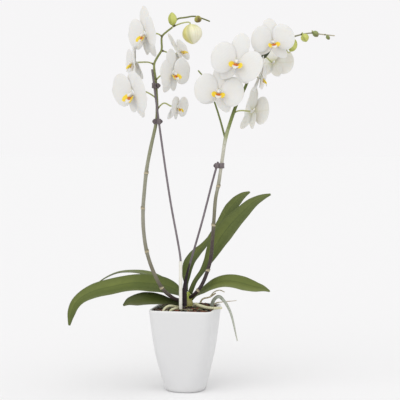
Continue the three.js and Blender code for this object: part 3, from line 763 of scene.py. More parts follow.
class Canvas(Graph):
    """The tree of one finish, with the places on its piece that the finish reads."""

    def __init__(self, tree: bpy.types.NodeTree) -> None:
        """Adds the nodes that tell where on the piece a point lies.

        Args:
            tree: The material's tree.
        """
        super().__init__(tree)
        self.spot = self.add("ShaderNodeTexCoord", {}).outputs["Object"]
        place = self.add("ShaderNodeUVMap", {}, uv_map=PLACE).outputs[0]
        parts = self.add("ShaderNodeSeparateXYZ", {0: place}).outputs
        self.along = parts[0]
        self.across = self.minus(self.times(parts[1], 2.0), 1.0)
        self.tone = self.add("ShaderNodeAttribute", {}, attribute_name=TONE).outputs["Fac"]
        self.height = self.add("ShaderNodeSeparateXYZ", {0: self.spot}).outputs[2]

    def mottle(self, scale: float, contrast: float = 2.2) -> dict[str, Socket]:
        """Returns the masks of the mottle effect on this piece."""
        return self.effect(Effect.MOTTLE, Spot=self.spot, Scale=scale, Contrast=contrast)

    def grain(self, scale: float) -> Socket:
        """Returns the height of the skin grain on this piece."""
        return self.effect(Effect.GRAIN, Spot=self.spot, Scale=scale)["Height"]

    def veins(self, count: float, wander: float, rib: float = 0.05) -> dict[str, Socket]:
        """Returns the lines and the midrib of this piece."""
        inputs = {"Spot": self.spot, "Across": self.across}
        return self.effect(Effect.VEINS, Count=count, Wander=wander, Rib=rib, **inputs)

    def speckle(self, scale: float, size: float) -> Socket:
        """Returns the mask of scattered spots on this piece."""
        return self.effect(Effect.SPECKLE, Spot=self.spot, Scale=scale, Size=size)["Mask"]

    def margin(self, width: float, ragged: float = 0.0) -> Socket:
        """Returns the mask of this piece's rim."""
        inputs = {"Spot": self.spot, "Along": self.along, "Across": self.across}
        return self.effect(Effect.MARGIN, Width=width, Ragged=ragged, **inputs)["Mask"]


@dataclass(frozen=True)
class Finish(ABC):
    """A finish: even values for the whole surface, and a look that changes over it."""

    name: str
    roughness: Pair = (0.42, 0.6)
    relief: float = 0.2  # depth of the bump, mm
    coat: float = 0.0
    depth: float = 0.0  # share of the light that goes through the skin
    ior: float = 1.45
    bump: float = 0.7
    coat_roughness: float = 0.12
    scatter: Triple = (1.0, 0.8, 0.6)  # how far red, green and blue go
    scatter_reach: float = 0.003

    @abstractmethod
    def look(self, c: Canvas) -> Look:
        """Draws the colour, the dullness and the height of the finish.

        Args:
            c: The canvas.

        Returns:
            The look.
        """

    def material(self) -> bpy.types.Material:
        """Makes the finish's material at its first use.

        Returns:
            The material.
        """
        known = bpy.data.materials.get(self.name)
        if known:
            return known
        made = bpy.data.materials.new(self.name)
        made.use_nodes = True
        made.node_tree.nodes.clear()
        canvas = Canvas(made.node_tree)
        look = self.look(canvas)
        inputs = {"Height": look.height, "Strength": self.bump, "Distance": self.relief * MM}
        bump = canvas.add("ShaderNodeBump", inputs)
        shader = canvas.add(
            "ShaderNodeBsdfPrincipled",
            {
                "Base Color": look.colour,
                "Roughness": canvas.levels(look.dull, 0.0, 1.0, *self.roughness),
                "Normal": bump.outputs[0],
                "IOR": self.ior,
                "Coat Weight": self.coat,
                "Coat Roughness": self.coat_roughness,
                "Subsurface Weight": self.depth,
                "Subsurface Radius": self.scatter,
                "Subsurface Scale": self.scatter_reach,
            },
        )
        canvas.add("ShaderNodeOutputMaterial", {0: shader.outputs[0]})
        return made


@dataclass(frozen=True)
class Glaze(Finish):
    """The pot's smooth white glaze, with faint cloudiness, patchy grey towards its foot and a
    painted highlight on its rim.
    """

    body: str = "#dcdcdc"
    cloud: str = "#d8d8d9"
    foot_grey: str = "#cfcecb"

    def look(self, c: Canvas) -> Look:
        """Draws the glaze.

        Args:
            c: The canvas.

        Returns:
            The look.
        """
        patches = c.mottle(9.0, 1.4)
        colour = c.mix(patches["Mask"], self.body, self.cloud)
        # patchy darker grey towards the foot of the pot
        low = c.levels(c.height, 0.002, 0.014, 0.45, 0.0)
        colour = c.mix(c.times(low, patches["Fine"]), colour, self.foot_grey)
        # painted highlight: the top of the rim painted lighter
        rim = c.levels(c.height, 0.1455, 0.149, 0.0, 0.5)
        colour = c.mix(rim, colour, "#e6e5e3")
        wisps = c.noise(c.stretch(c.spot, (1.0, 1.0, 0.4)), 60.0, 2.0)
        return Look(colour, patches["Fine"], wisps)


@dataclass(frozen=True)
class Chip(Finish):
    """Weathered bark: a different brown for each chip, with grain, cracks and algae."""

    stops: Shades = (
        (0.0, "#1c1512"), (0.3, "#33231b"), (0.5, "#5a3a26"), (0.66, "#8a4a30"),
        (0.8, "#86634a"), (0.92, "#6d7050"), (1.0, "#a09c82"),
    )

    def look(self, c: Canvas) -> Look:
        """Draws the bark.

        Args:
            c: The canvas.

        Returns:
            The look.
        """
        patches = c.mottle(160.0, 2.6)
        shade = c.drift(patches["Mask"], 0.22)
        colour = c.ramp(c.plus(c.tone, shade, clamp=True), self.stops)
        grain = c.noise(c.stretch(c.spot, (1.0, 3.2, 3.2)), 380.0, 6.0)
        dark = c.levels(grain, 0.35, 0.62, 0.75, 0.0)
        colour = c.mix(dark, colour, "#140e0c")
        algae = c.times(c.speckle(240.0, 0.3), 0.35)
        colour = c.mix(algae, colour, "#77805a")
        cells = c.grain(420.0)
        return Look(colour, patches["Fine"], c.plus(grain, cells))


@dataclass(frozen=True)
class LeafSkin(Finish):
    """A leathery leaf: paler foot, greyed tip, fine veins, a groove and a dull underside, with
    painted light and shade across its fold, painted shade in its groove and painted shade where its
    stops darken near the foot.
    """

    # from foot to tip; the darker band above the foot is painted shade where the leaves crowd round
    # the crown
    stops: Shades = (
        (0.0, "#566425"), (0.18, "#434f1c"), (0.42, "#5f6a2a"), (0.8, "#646e2f"), (1.0, "#5f6840"),
    )
    # painted light and shade across the blade, from the upper border to the lower one: the two
    # halves of the fold lit and shaded differently
    sides: Shades = (
        (0.0, "#555d3a"), (0.12, "#5e672c"), (0.4, "#6e7833"), (0.55, "#5b6628"), (0.8, "#47531d"),
        (0.95, "#5f6640"), (1.0, "#7c7f66"),
    )
    shade: str = "#3f4d1a"
    under: str = "#565f3a"
    low: float = 1.0  # the side that hangs lower, 1 or -1

    def look(self, c: Canvas) -> Look:
        """Draws the leaf.

        Args:
            c: The canvas.

        Returns:
            The look.
        """
        patches = c.mottle(26.0, 2.2)
        # painted light and shade: the ramp across makes one half of the folded blade lighter than
        # the other
        down = c.times(c.across, 0.5 * self.low)
        across = c.ramp(c.plus(down, 0.5, clamp=True), self.sides)
        face = c.mix(0.5, c.ramp(c.along, self.stops), across)
        face = c.tint(face, self.shade, patches["Mask"], 0.5)
        veins = c.veins(13.0, 0.03, 0.07)
        lines = c.times(veins["Lines"], c.minus(1.0, veins["Midrib"]))
        face = c.tint(face, "#8b9a5a", lines, 0.12)
        # painted shade: the midrib groove darkened
        face = c.tint(face, self.shade, veins["Midrib"], 0.55)
        back = c.mix(patches["Fine"], self.under, self.shade)
        back = c.tint(back, "#7f8c5c", veins["Midrib"], 0.3)
        colour = c.mix(c.levels(c.tone, 0.5, 0.62), face, back)
        scars = c.times(c.speckle(75.0, 0.08), 0.3)
        colour = c.mix(scars, colour, "#a3a57c")
        ribs = c.times(lines, -0.4)
        height = c.plus(c.times(c.grain(900.0), 0.35), ribs)
        dull = c.plus(c.times(patches["Fine"], 0.6),
                      c.times(c.tone, 0.4), clamp=True)
        return Look(colour, dull, height)


@dataclass(frozen=True)
class StemSkin(Finish):
    """A flower stem, coloured from foot to tip, with fine ribs and pale flecks."""

    stops: Shades = ((0.0, "#39272c"), (1.0, "#6f7a50"))
    fleck: str = "#c3c2a4"

    def look(self, c: Canvas) -> Look:
        """Draws the stem.

        Args:
            c: The canvas.

        Returns:
            The look.
        """
        patches = c.mottle(70.0, 2.6)
        drift = c.drift(patches["Mask"], 0.05)
        colour = c.ramp(c.plus(c.along, drift, clamp=True), self.stops)
        colour = c.tint(colour, "#3d3a2c", patches["Fine"], 0.22)
        flecks = c.speckle(520.0, 0.2)
        colour = c.tint(colour, self.fleck, flecks, 0.4)
        ribs = c.noise(c.stretch(c.spot, (1.0, 1.0, 0.08)), 1500.0, 3.0)
        return Look(colour, patches["Fine"], c.plus(ribs, flecks))


@dataclass(frozen=True)
class PetalSkin(Finish):
    """White petal tissue: fan veins, a tinged foot, a thin rim and a creamier back."""

    face: str = "#e5e4e1"
    back: str = "#e9e8e4"
    foot: str = "#dfe0bd"
    blush: str = "#dcc9cf"
    vein: str = "#c8c7c6"

    def look(self, c: Canvas) -> Look:
        """Draws the petal.

        Args:
            c: The canvas.

        Returns:
            The look.
        """
        patches = c.mottle(55.0, 2.0)
        face = c.mix(c.times(patches["Mask"], 0.35), self.face,
                     "#dbd9d3")
        fans = c.veins(12.0, 0.06, 0.09)
        lines = c.times(fans["Lines"], c.levels(c.along, 0.02, 0.85, 0.85, 0.25))
        face = c.mix(lines, face, self.vein)
        near = c.levels(c.along, 0.0, 0.2, 0.75, 0.0)
        face = c.mix(near, face, self.foot)
        flush = c.times(c.levels(c.along, 0.05, 0.5, 0.5, 0.0), fans["Lines"])
        face = c.mix(flush, face, self.blush)
        back = c.mix(c.times(patches["Fine"], 0.4), self.back,
                     "#dedbd0")
        back = c.tint(back, "#c9c4b2", lines, 0.7)
        back = c.tint(back, "#c2bf98", fans["Midrib"], 0.15)
        back = c.mix(c.levels(c.along, 0.0, 0.4, 0.75, 0.0), back, "#c6c494")
        colour = c.mix(c.levels(c.tone, 0.5, 0.62), face, back)
        rim = c.times(c.margin(0.05, 0.02), 0.25)
        colour = c.mix(rim, colour, "#f4f4f2")
        height = c.plus(c.times(c.grain(1300.0), 0.3),
                        c.times(fans["Lines"], 0.5))
        return Look(colour, patches["Fine"], height)


@dataclass(frozen=True)
class LipSkin(Finish):
    """A lip lobe: orange-red stripes at its foot that run out over bright yellow."""

    foot: str = "#c8641e"
    middle: str = "#e8c224"
    tip: str = "#f0d83e"
    turn: str = "#e39a1a"  # between the foot and the middle
    full: float = 1.0  # where the tip's colour starts

    def look(self, c: Canvas) -> Look:
        """Draws the lobe.

        Args:
            c: The canvas.

        Returns:
            The look.
        """
        patches = c.mottle(240.0, 2.4)
        stops = ((0.0, self.foot), (0.1, self.turn), (0.24, self.middle), (self.full, self.tip))
        drift = c.drift(patches["Mask"], 0.2)
        colour = c.ramp(c.plus(c.along, drift, clamp=True), stops)
        lines = c.veins(5.0, 0.12)["Lines"]
        stripe = c.times(lines, c.levels(c.along, 0.1, 0.45, 0.6, 0.0))
        colour = c.mix(stripe, colour, self.foot)
        dots = c.times(c.speckle(900.0, 0.2), 0.35)
        colour = c.mix(dots, colour, "#c67a1c")
        height = c.plus(c.grain(1500.0), c.times(lines, 0.6))
        return Look(colour, patches["Fine"], height)


@dataclass(frozen=True)
class BudSkin(Finish):
    """A closed bud, shaded from base to tip, with its sepal seams and veins."""

    base: str = "#dcdc98"
    middle: str = "#f2f0cf"
    tip: str = "#f5f2da"
    seam: str = "#c3c67e"
    lobe: str | None = None  # colour of the sepal beyond the last seam, where it differs

    def look(self, c: Canvas) -> Look:
        """Draws the bud.

        Args:
            c: The canvas.

        Returns:
            The look.
        """
        patches = c.mottle(90.0, 2.2)
        drift = c.drift(patches["Mask"], 0.25)
        stops = ((0.0, self.base), (0.45, self.middle), (1.0, self.tip))
        colour = c.ramp(c.plus(c.along, drift, clamp=True), stops)
        turns = c.times(c.across, 1.5 * pi)
        seam = c.math("POWER", c.math("ABSOLUTE", c.math("SINE", turns)), 14.0)
        colour = c.tint(colour, self.seam, seam, 0.6)
        if self.lobe:
            beyond = c.times(c.levels(c.across, 0.31, 0.48, 0.0, 0.85),
                            c.levels(c.across, 0.6, 1.0, 1.0, 0.15))
            colour = c.mix(beyond, colour, self.lobe)
        lines = c.veins(9.0, 0.05)["Lines"]
        colour = c.tint(colour, self.seam, lines, 0.25)
        height = c.minus(c.times(lines, 0.3), seam)
        return Look(colour, patches["Fine"], height)


@dataclass(frozen=True)
class RootSkin(Finish):
    """The spongy skin of a root: pale patches over green, scuffs and brown specks."""

    stops: Shades = ((0.0, "#b5b382"), (1.0, "#cdcca8"))
    patch: str = "#dedcc4"
    stain: str = "#8a8460"

    def look(self, c: Canvas) -> Look:
        """Draws the root.

        Args:
            c: The canvas.

        Returns:
            The look.
        """
        patches = c.mottle(150.0, 3.0)
        colour = c.ramp(c.along, self.stops)
        colour = c.tint(colour, self.patch, patches["Mask"], 0.7)
        stains = c.levels(patches["Fine"], 0.5, 0.85, 0.0, 0.65)
        colour = c.mix(stains, colour, self.stain)
        colour = c.tint(colour, "#4e3f30", c.speckle(700.0, 0.22), 0.5)
        return Look(colour, patches["Fine"], c.grain(700.0))


@dataclass(frozen=True)
class Plain(Finish):
    """A finish of two close shades, for plastic, paper and fibre, worn along its length."""

    light: str = "#7b7276"
    dark: str = "#5c5257"
    scale: float = 90.0
    grit: float = 800.0
    foot: str | None = None  # colour near the foot of the piece, where it differs
    wear: float = 0.35

    def look(self, c: Canvas) -> Look:
        """Draws the finish.

        Args:
            c: The canvas.

        Returns:
            The look.
        """
        patches = c.mottle(self.scale, 2.4)
        colour = c.mix(patches["Mask"], self.light, self.dark)
        if self.foot:
            colour = c.mix(c.levels(c.along, 0.1, 0.75, 0.95, 0.0), colour, self.foot)
        streak = c.noise(c.stretch(c.spot, (1.0, 1.0, 0.05)), 1100.0, 3.0)
        worn = c.levels(streak, 0.55, 0.8, 0.0, self.wear)
        colour = c.mix(worn, colour, c.mix(0.5, self.light, "#d8d5cf"))
        return Look(colour, patches["Fine"], c.grain(self.grit))


class Finishes:
    """The finishes of the plant, its pot and what holds it up."""

    POT = Glaze("Pot glaze", roughness=(0.34, 0.42), relief=0.02, coat=0.1)
    BARK = Chip("Bark", roughness=(0.75, 0.95), relief=0.9)
    MOSS = Plain("Moss fibre", roughness=(0.8, 0.95), light="#8d9468", dark="#5b6240")
    CROWN = LeafSkin(
        "Plant foot", roughness=(0.42, 0.58), relief=0.25,
        stops=((0.0, "#a8926a"), (0.42, "#b3a274"), (0.52, "#c6b88c"), (0.6, "#aebb4a"),
               (0.72, "#96b829"), (1.0, "#a4c033")),
        sides=((0.0, "#a9ae5c"), (0.5, "#bcbf6a"), (1.0, "#a3a858")), shade="#949748",
    )
    LEAF = LeafSkin("Leaf", ior=1.36)
    # painted light and shade: its sides make the lower half paler and the upper border greyer
    LEAF_RIGHT = LeafSkin(
        "Right leaf", ior=1.36, low=-1.0,
        sides=((0.0, "#6d7248"), (0.15, "#5f672c"), (0.4, "#646e2c"), (0.55, "#586026"),
               (0.72, "#727a3c"), (0.92, "#7f8658"), (1.0, "#8a8f6c")),
    )
    # its near-black foot is painted shade where it rises among the other leaves
    LEAF_TALL = LeafSkin(
        "Tall leaf", ior=1.36, low=-1.0,
        stops=((0.0, "#2f3a14"), (0.25, "#3a4517"), (0.4, "#56602a"), (0.8, "#66703a"),
               (1.0, "#6f7450")),
    )
    LEAF_DARK = LeafSkin(
        "Shaded leaf", roughness=(0.52, 0.68), ior=1.33,
        stops=((0.0, "#373f1c"), (0.5, "#424a1d"), (1.0, "#5a5d44")),
        sides=((0.0, "#30361c"), (0.3, "#3c441b"), (0.7, "#525722"), (0.92, "#68684e"),
               (1.0, "#837f72")),
    )
    # painted shade: a near-black sheet beside the right rod where the leaves' shadow falls
    SHEATH = Plain(
        "Dry sheath", roughness=(0.75, 0.92), relief=0.4, light="#30232a", dark="#1b1217",
        scale=140.0, wear=0.12,
    )
    SLEEVE = Plain(
        "Rod sleeve", roughness=(0.35, 0.5), relief=0.08, light="#e9e7df", dark="#dcd9cd",
        scale=60.0,
    )
    ROD = Plain("Rod", roughness=(0.38, 0.55), relief=0.08, light="#7d7579", dark="#6a6065")
    # its near-black foot is partly the rod's own dark purple and partly painted shade among the
    # leaves
    ROD_DARK = Plain(
        "Darker rod", roughness=(0.38, 0.55), relief=0.08, light="#7a7176", dark="#665b61",
        foot="#2a1f25",
    )
    CLIP = Plain("Clip", roughness=(0.35, 0.5), relief=0.06, light="#746a6c", dark="#5f5457")
    STEM_LEFT = StemSkin(
        "Left stem", relief=0.15,
        stops=(
            (0.0, "#2b1b21"), (0.085, "#37272a"), (0.108, "#575046"), (0.16, "#76715f"),
            (0.3, "#959283"), (0.45, "#94937f"), (0.62, "#82865c"), (0.74, "#939a5e"),
            (0.86, "#8e9556"), (0.93, "#70753f"), (1.0, "#646a3c"),
        ),
    )
    STEM_RIGHT = StemSkin(
        "Right stem", relief=0.15,
        stops=(
            (0.0, "#2a1a20"), (0.1, "#33242a"), (0.2, "#453836"), (0.25, "#6b6652"),
            (0.34, "#8b8974"), (0.4, "#bbb8a8"), (0.47, "#c9c7b8"), (0.515, "#a3aa7c"),
            (0.55, "#7f8c4c"), (0.6, "#5f6d30"), (0.66, "#6f7d3c"), (0.74, "#3f4626"),
            (0.79, "#3d4328"), (0.85, "#6c7048"), (0.93, "#b4ae94"), (1.0, "#c2bba4"),
        ),
    )
    STEM_SIDE = StemSkin(
        "Side branch", relief=0.15,
        stops=((0.0, "#6b7344"), (0.5, "#74803f"), (1.0, "#8a9450")),
    )
    STALK = StemSkin(
        "Flower stalk", relief=0.12,
        stops=((0.0, "#a9b066"), (0.5, "#c0c584"), (1.0, "#d0d2a2")),
    )
    BRACT = StemSkin(
        "Bract", roughness=(0.55, 0.75), fleck="#cfc9ac",
        stops=((0.0, "#d2c4a6"), (0.3, "#b5a98c"), (1.0, "#6f6a56")),
    )
    BRACT_DARK = StemSkin(
        "Small bract", roughness=(0.55, 0.75),
        stops=((0.0, "#5a4f3e"), (0.6, "#6f6a4a"), (1.0, "#8a8661")),
    )
    PETAL = PetalSkin("Petal", roughness=(0.45, 0.6), relief=0.16, depth=0.25)
    COLUMN = PetalSkin(
        "Column", roughness=(0.35, 0.5), relief=0.1, depth=0.2,
        foot="#e9e4c2", blush="#d9a9b6", back="#ecebe6",
    )
    TONGUE = PetalSkin(
        "Lip tongue", roughness=(0.4, 0.55), relief=0.12, depth=0.2,
        foot="#e6b13a", blush="#c9776a", back="#e9e7df",
    )
    LIP = LipSkin("Lip lobe", roughness=(0.4, 0.55), relief=0.12, depth=0.1)
    CALLUS = LipSkin(
        "Lip callus", roughness=(0.3, 0.45), relief=0.12, depth=0.1,
        foot="#e9b820", middle="#e6a51c", tip="#c9641f", turn="#e8b01e", full=0.92,
    )
    BUD_CREAM = BudSkin(
        "Cream bud", roughness=(0.4, 0.55), relief=0.3, depth=0.15, base="#dfdc9c",
        middle="#efecd2", tip="#f0ecd6", seam="#b3b068", lobe="#d6cc6c",
    )
    BUD_GREEN = BudSkin(
        "Green bud", roughness=(0.4, 0.55), depth=0.1,
        base="#a9b050", middle="#cbcf74", tip="#bdc068", seam="#8f9844",
    )
    BUD_BROWN = BudSkin(
        "Browned bud", roughness=(0.45, 0.6), relief=0.15,
        base="#7d7a3a", middle="#b4b35a", tip="#6b5532", seam="#5f5030",
    )
    BUD_SMALL = BudSkin(
        "Small bud", roughness=(0.45, 0.6), relief=0.15,
        base="#6f7a45", middle="#8e9a5c", tip="#75704a", seam="#5c6438",
    )
    ROOT = RootSkin("Root", roughness=(0.6, 0.85), relief=0.35)
    ROOT_AERIAL = RootSkin(
        "Aerial root", roughness=(0.55, 0.8), relief=0.3, patch="#c3c6bb", stain="#7c8272",
        stops=((0.0, "#5a6350"), (0.3, "#6c7562"), (0.42, "#a4aa9c"), (0.8, "#b6b9ab"),
               (1.0, "#c9c9ba")),
    )
    ROOT_DRY = RootSkin(
        "Dry root", roughness=(0.7, 0.9), relief=0.3, patch="#ded4b8", stain="#97805c",
        stops=((0.0, "#c5bf90"), (1.0, "#cdbfa6")),
    )


def fit(
    shape: Shape, name: str, finish: Finish, slot: str, *nodes: str, levels: int = 0,
    smooth: bool = True,
) -> bpy.types.Object:
    """Makes a piece, gives it its finish, and sets it on the frame.

    Args:
        shape: The piece's shape.
        name: The piece's name.
        finish: Its finish.
        slot: The record's material slot that the finish belongs to; not used.
        *nodes: The CAD nodes that it stands for.
        levels: How often its surface is subdivided.
        smooth: Whether its faces shade as one surface.

    Returns:
        The piece.
    """
    piece = shape.object(name, levels, smooth)
    piece.data.materials.append(finish.material())
    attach(piece, "root")
    if nodes:
        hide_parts(*nodes)
    LOG.info("%s: %d faces, stands for %s", name, len(shape.faces), ", ".join(nodes) or "detail")
    return piece


class Part(ABC):
    """A sub-assembly that builds and dresses its own pieces."""

    @abstractmethod
    def build(self) -> None:
        """Builds the pieces and sets them on the frame."""


# ---- Pot and what fills it ----


@dataclass
class Pot(Part):
    """The white cover pot: rounded-square, tapered, with a rounded rim."""

    wall: float = 3.0
    floor: float = 5.0
    turn: float = -11.0
    corner_steps: int = 8
    side_steps: int = 6
    inside: tuple[float, ...] = (146.5, 128, 110, 72, 38, 12, 5)
    # height, half side and corner radius of the outside, from the base to the rim
    outside: Triples = (
        (0, 33, 31), (0.8, 34.6, 31.4), (3, 36.5, 32), (7, 37.4, 31.6), (12, 38.3, 31),
        (24, 40.9, 27.6), (38, 43.4, 24), (55, 46.6, 20.8), (72, 49.4, 18), (91, 51.7, 16.4),
        (110, 53.7, 15), (130, 55.7, 14.4), (146, 57.2, 14), (148.6, 57.3, 14),
        (149.6, 57.0, 13.8), (150, 56.4, 13.5),
    )
    # how far in and down each level of the rounded lip lies from the top of the outside
    lip: Pairs = ((0.8, 0.0), (1.7, 0.1), (2.2, 0.5), (2.4, 1.3))

    def ring(self, height: float, half: float, corner: float) -> list[Vector]:
        """Draws one level of the pot.

        Args:
            height: Height of the level.
            half: Half the side of its square.
            corner: Radius of its corners.

        Returns:
            The points of the level, turned as the pot stands.
        """
        turn = spin(self.turn, "Z", 3)
        points: list[Vector] = []
        for quarter in range(4):
            inset = (half - corner) * sqrt(2)
            centre = compass(radians(90 * quarter + 45)) * inset
            arc = [
                centre + compass(radians(90 * (quarter + k / self.corner_steps))) * corner
                for k in range(self.corner_steps + 1)
            ]
            if points:
                points += self.side(points[-1], arc[0])
            points += arc
        points += self.side(points[-1], points[0])
        return [turn @ (p + Vector((0, 0, height))) for p in points]

    def side(self, start: Vector, end: Vector) -> list[Vector]:
        """Returns the points between two corners."""
        return [start.lerp(end, k / self.side_steps) for k in range(1, self.side_steps)]

    def size(self, height: float) -> Pair:
        """Returns the half side and corner radius of the outside at a height."""
        return reading(self.outside, height, 1), reading(self.outside, height, 2)

    def inner(self, height: float, inset: float) -> list[Vector]:
        """Returns the level inside the pot at a distance in from its outside."""
        half, corner = self.size(height)
        return self.ring(height, half - inset, corner - inset / 2)

    def build(self) -> None:
        """Builds the shell."""
        outer = [self.ring(*level) for level in self.outside]
        top, half, corner = self.outside[-1]
        lip = [self.ring(top - drop, half - inset, corner - inset / 2) for inset, drop in self.lip]
        inner = [self.inner(height, self.wall) for height in self.inside]
        fit(loft([*outer, *lip, *inner]), "pot_shell", Finishes.POT, "pot", "pot")


@dataclass
class Bark(Part):
    """The bark that fills the pot, with loose chips and moss on its heap."""

    pot: Pot
    edge: float = 145.5
    mound: float = 151.0
    foot: float = 5.3
    chips: int = 300
    loose: int = 26  # chips heaped behind the thick root
    strands: int = 150
    seed: int = 7
    rough: float = 1.6  # how far the bed's surface rises and falls
    steps: int = 9  # rings of the bed's surface
    bed_tone: float = 0.18
    short: Pair = (6, 15)  # length of most chips
    long: Pair = (14, 20)  # length of every fourth chip
    margin: float = 1.0  # kept between a chip and the pot's wall
    browns: tuple[float, ...] = (0.05, 0.15, 0.25, 0.35, 0.45, 0.55, 0.64, 0.7, 0.8, 0.92, 1.0)
    loose_browns: tuple[float, ...] = (0.05, 0.25, 0.6, 0.66, 0.7)
    loose_at: Pair = (31, 3)
    loose_spread: float = 6
    tufts: Pairs = (
        (-34, -14), (24, -34), (40, 14), (-12, 32), (14, 18), (-40, 20), (34, -20),
    )
    tuft_spread: float = 4.5
    # share of a chip's width at each of its rings
    broken: tuple[float, ...] = (0.55, 0.95, 1.0, 0.9, 0.5)

    def surface(self, x: float, y: float) -> float:
        """Finds the height of the heap at a place.

        Args:
            x: The place.
            y: The place.

        Returns:
            The height.
        """
        room = self.pot.size(self.edge)[0] - self.pot.wall
        back = Matrix.Rotation(radians(-self.pot.turn), 2) @ Vector((x, y))
        out = min(max(abs(back.x), abs(back.y)) / room, 1.0)
        bump = self.rough * noise.noise(Vector((x, y, 0)) * 0.12)
        return lerp(self.mound, self.edge, out**1.6) + bump

    def bed(self) -> Shape:
        """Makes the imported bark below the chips.

        Returns:
            The bed.
        """
        inset = self.pot.wall + GAP
        levels = [self.foot, 12, 38, 72, 110, 132, self.edge - 1]
        rings = [self.pot.inner(height, inset) for height in levels]
        half, corner = self.pot.size(self.edge)
        for k in range(self.steps, 0, -1):
            share = k / (self.steps + 0.5)
            ring = self.pot.ring(0, (half - inset) * share, max(corner * share, 1.0))
            rings.append([Vector((p.x, p.y, self.surface(p.x, p.y))) for p in ring])
        return loft(rings, [self.bed_tone] * len(rings))

    def chip(self, draw: random.Random, size: Sequence[float], tone: float) -> Shape:
        """Makes one broken chip.

        Args:
            draw: The source of its random shape.
            size: Its length, width and thickness.
            tone: Its place in the range of browns.

        Returns:
            The chip round the origin.
        """
        rings = []
        for k, share in enumerate(self.broken):
            x = (k / (len(self.broken) - 1) - 0.5) * size[0]
            ring = []
            for angle in circle(8, 0.5):
                reach = share * draw.uniform(0.78, 1.08)
                square = 1 / max(abs(cos(angle)), abs(sin(angle)))
                y = cos(angle) * square * reach * size[1] / 2
                z = sin(angle) * square * reach * size[2] / 2
                ring.append(Vector((x + draw.uniform(-0.6, 0.6), y, z)))
            rings.append(ring)
        return loft(rings, [tone] * len(rings))

    def heap(self) -> Shape:
        """Makes all loose chips as one shape.

        Returns:
            The chips.
        """
        draw = random.Random(self.seed)
        inset = self.pot.wall + GAP
        half, corner = self.pot.size(self.edge)
        room, bend = half - inset, corner - inset / 2
        diagonal = (room - bend) * sqrt(2) + bend  # from the axis into a rounded corner
        shape = Shape()
        for k in range(self.chips):
            long = draw.uniform(*(self.short if k % 4 else self.long))
            size = (long, long * draw.uniform(0.35, 0.6), draw.uniform(2.2, 4.6))
            reach = room - long * 0.5 - self.margin
            spot = Vector((draw.uniform(-reach, reach), draw.uniform(-reach, reach), 0))
            limit = (diagonal - long * 0.5 - self.margin) * sqrt(2)
            spot *= min(1.0, limit / (abs(spot.x) + abs(spot.y)))
            spot.rotate(spin(self.pot.turn, "Z", 3))
            spot.z = self.surface(spot.x, spot.y) + draw.uniform(-0.4, 1.2)
            tilt = Matrix.Rotation(draw.uniform(-0.35, 0.35), 4, "X")
            lean = Matrix.Rotation(draw.uniform(-0.3, 0.3), 4, "Y")
            yaw = Matrix.Rotation(draw.uniform(0, pi), 4, "Z")
            tone = draw.choice(self.browns)
            move = Matrix.Translation(spot) @ yaw @ tilt @ lean
            shape.add(self.chip(draw, size, tone), move)
        for _ in range(self.loose):
            size = (draw.uniform(9, 14), draw.uniform(4, 7), draw.uniform(2.5, 4.0))
            spot = Vector((*(draw.gauss(at, self.loose_spread) for at in self.loose_at), 0))
            spot.z = self.surface(spot.x, spot.y) + draw.uniform(1.5, 7.0)
            turn = Matrix.Rotation(draw.uniform(0, pi), 4, "Z")
            lean = Matrix.Rotation(draw.uniform(-0.5, 0.5), 4, "X")
            tone = draw.choice(self.loose_browns)
            shape.add(self.chip(draw, size, tone), Matrix.Translation(spot) @ turn @ lean)
        return shape

    def moss(self) -> Shape:
        """Makes tufts of moss between the chips.

        Returns:
            The moss.
        """
        draw = random.Random(self.seed + 1)
        shape = Shape()
        for k in range(self.strands):
            x, y = (at + draw.gauss(0, self.tuft_spread) for at in self.tufts[k % len(self.tufts)])
            foot = Vector((x, y, self.surface(x, y) + 0.5))
            way = Vector((draw.gauss(0, 1), draw.gauss(0, 1), draw.uniform(0.4, 1.4)))
            tip = foot + way.normalized() * draw.uniform(4, 9)
            bend = foot.lerp(tip, 0.5) + Vector((0, 0, draw.uniform(0.4, 1.8)))
            width = draw.uniform(0.22, 0.38)
            shape.add(tube(Route([foot, bend, tip]), lambda s: width * (1 - 0.7 * s), 4, 3.0))
        return shape

    def build(self) -> None:
        """Builds the bed, the chips and the moss."""
        fit(self.bed(), "bark_bed", Finishes.BARK, "bark", "bark")
        fit(self.heap(), "bark_chips", Finishes.BARK, "bark", "bark", smooth=False)
        fit(self.moss(), "bark_moss", Finishes.MOSS, "bark")


# ---- Crown, leaves and the dark sheath of painted shade ----


@dataclass
class Crown(Part):
    """The short stem, wrapped in the bright feet of its leaves."""

    centre: Pair = (4.0, 0.0)
    # height and radius
    profile: Pairs = (
        (119, 5), (122, 7.6), (136, 9.8), (152, 10), (160, 9.4), (167, 8.2), (173, 6),
        (176.4, 3.6), (177.8, 1.6),
    )
    ridges: int = 6  # one for each leaf foot

    def spot(self, height: float, radius: float, angle: float) -> Vector:
        """Returns the point at a height and an angle."""
        ridge = 0.94 + 0.06 * cos(self.ridges * angle + height * 0.05)
        return compass(angle) * (radius * ridge) + Vector((*self.centre, height))

    def build(self) -> None:
        """Builds the ridged stem."""
        shape = ringed(self.profile, 36, self.spot)
        fit(shape, "crown_stem", Finishes.CROWN, "crown", "crown", levels=1)


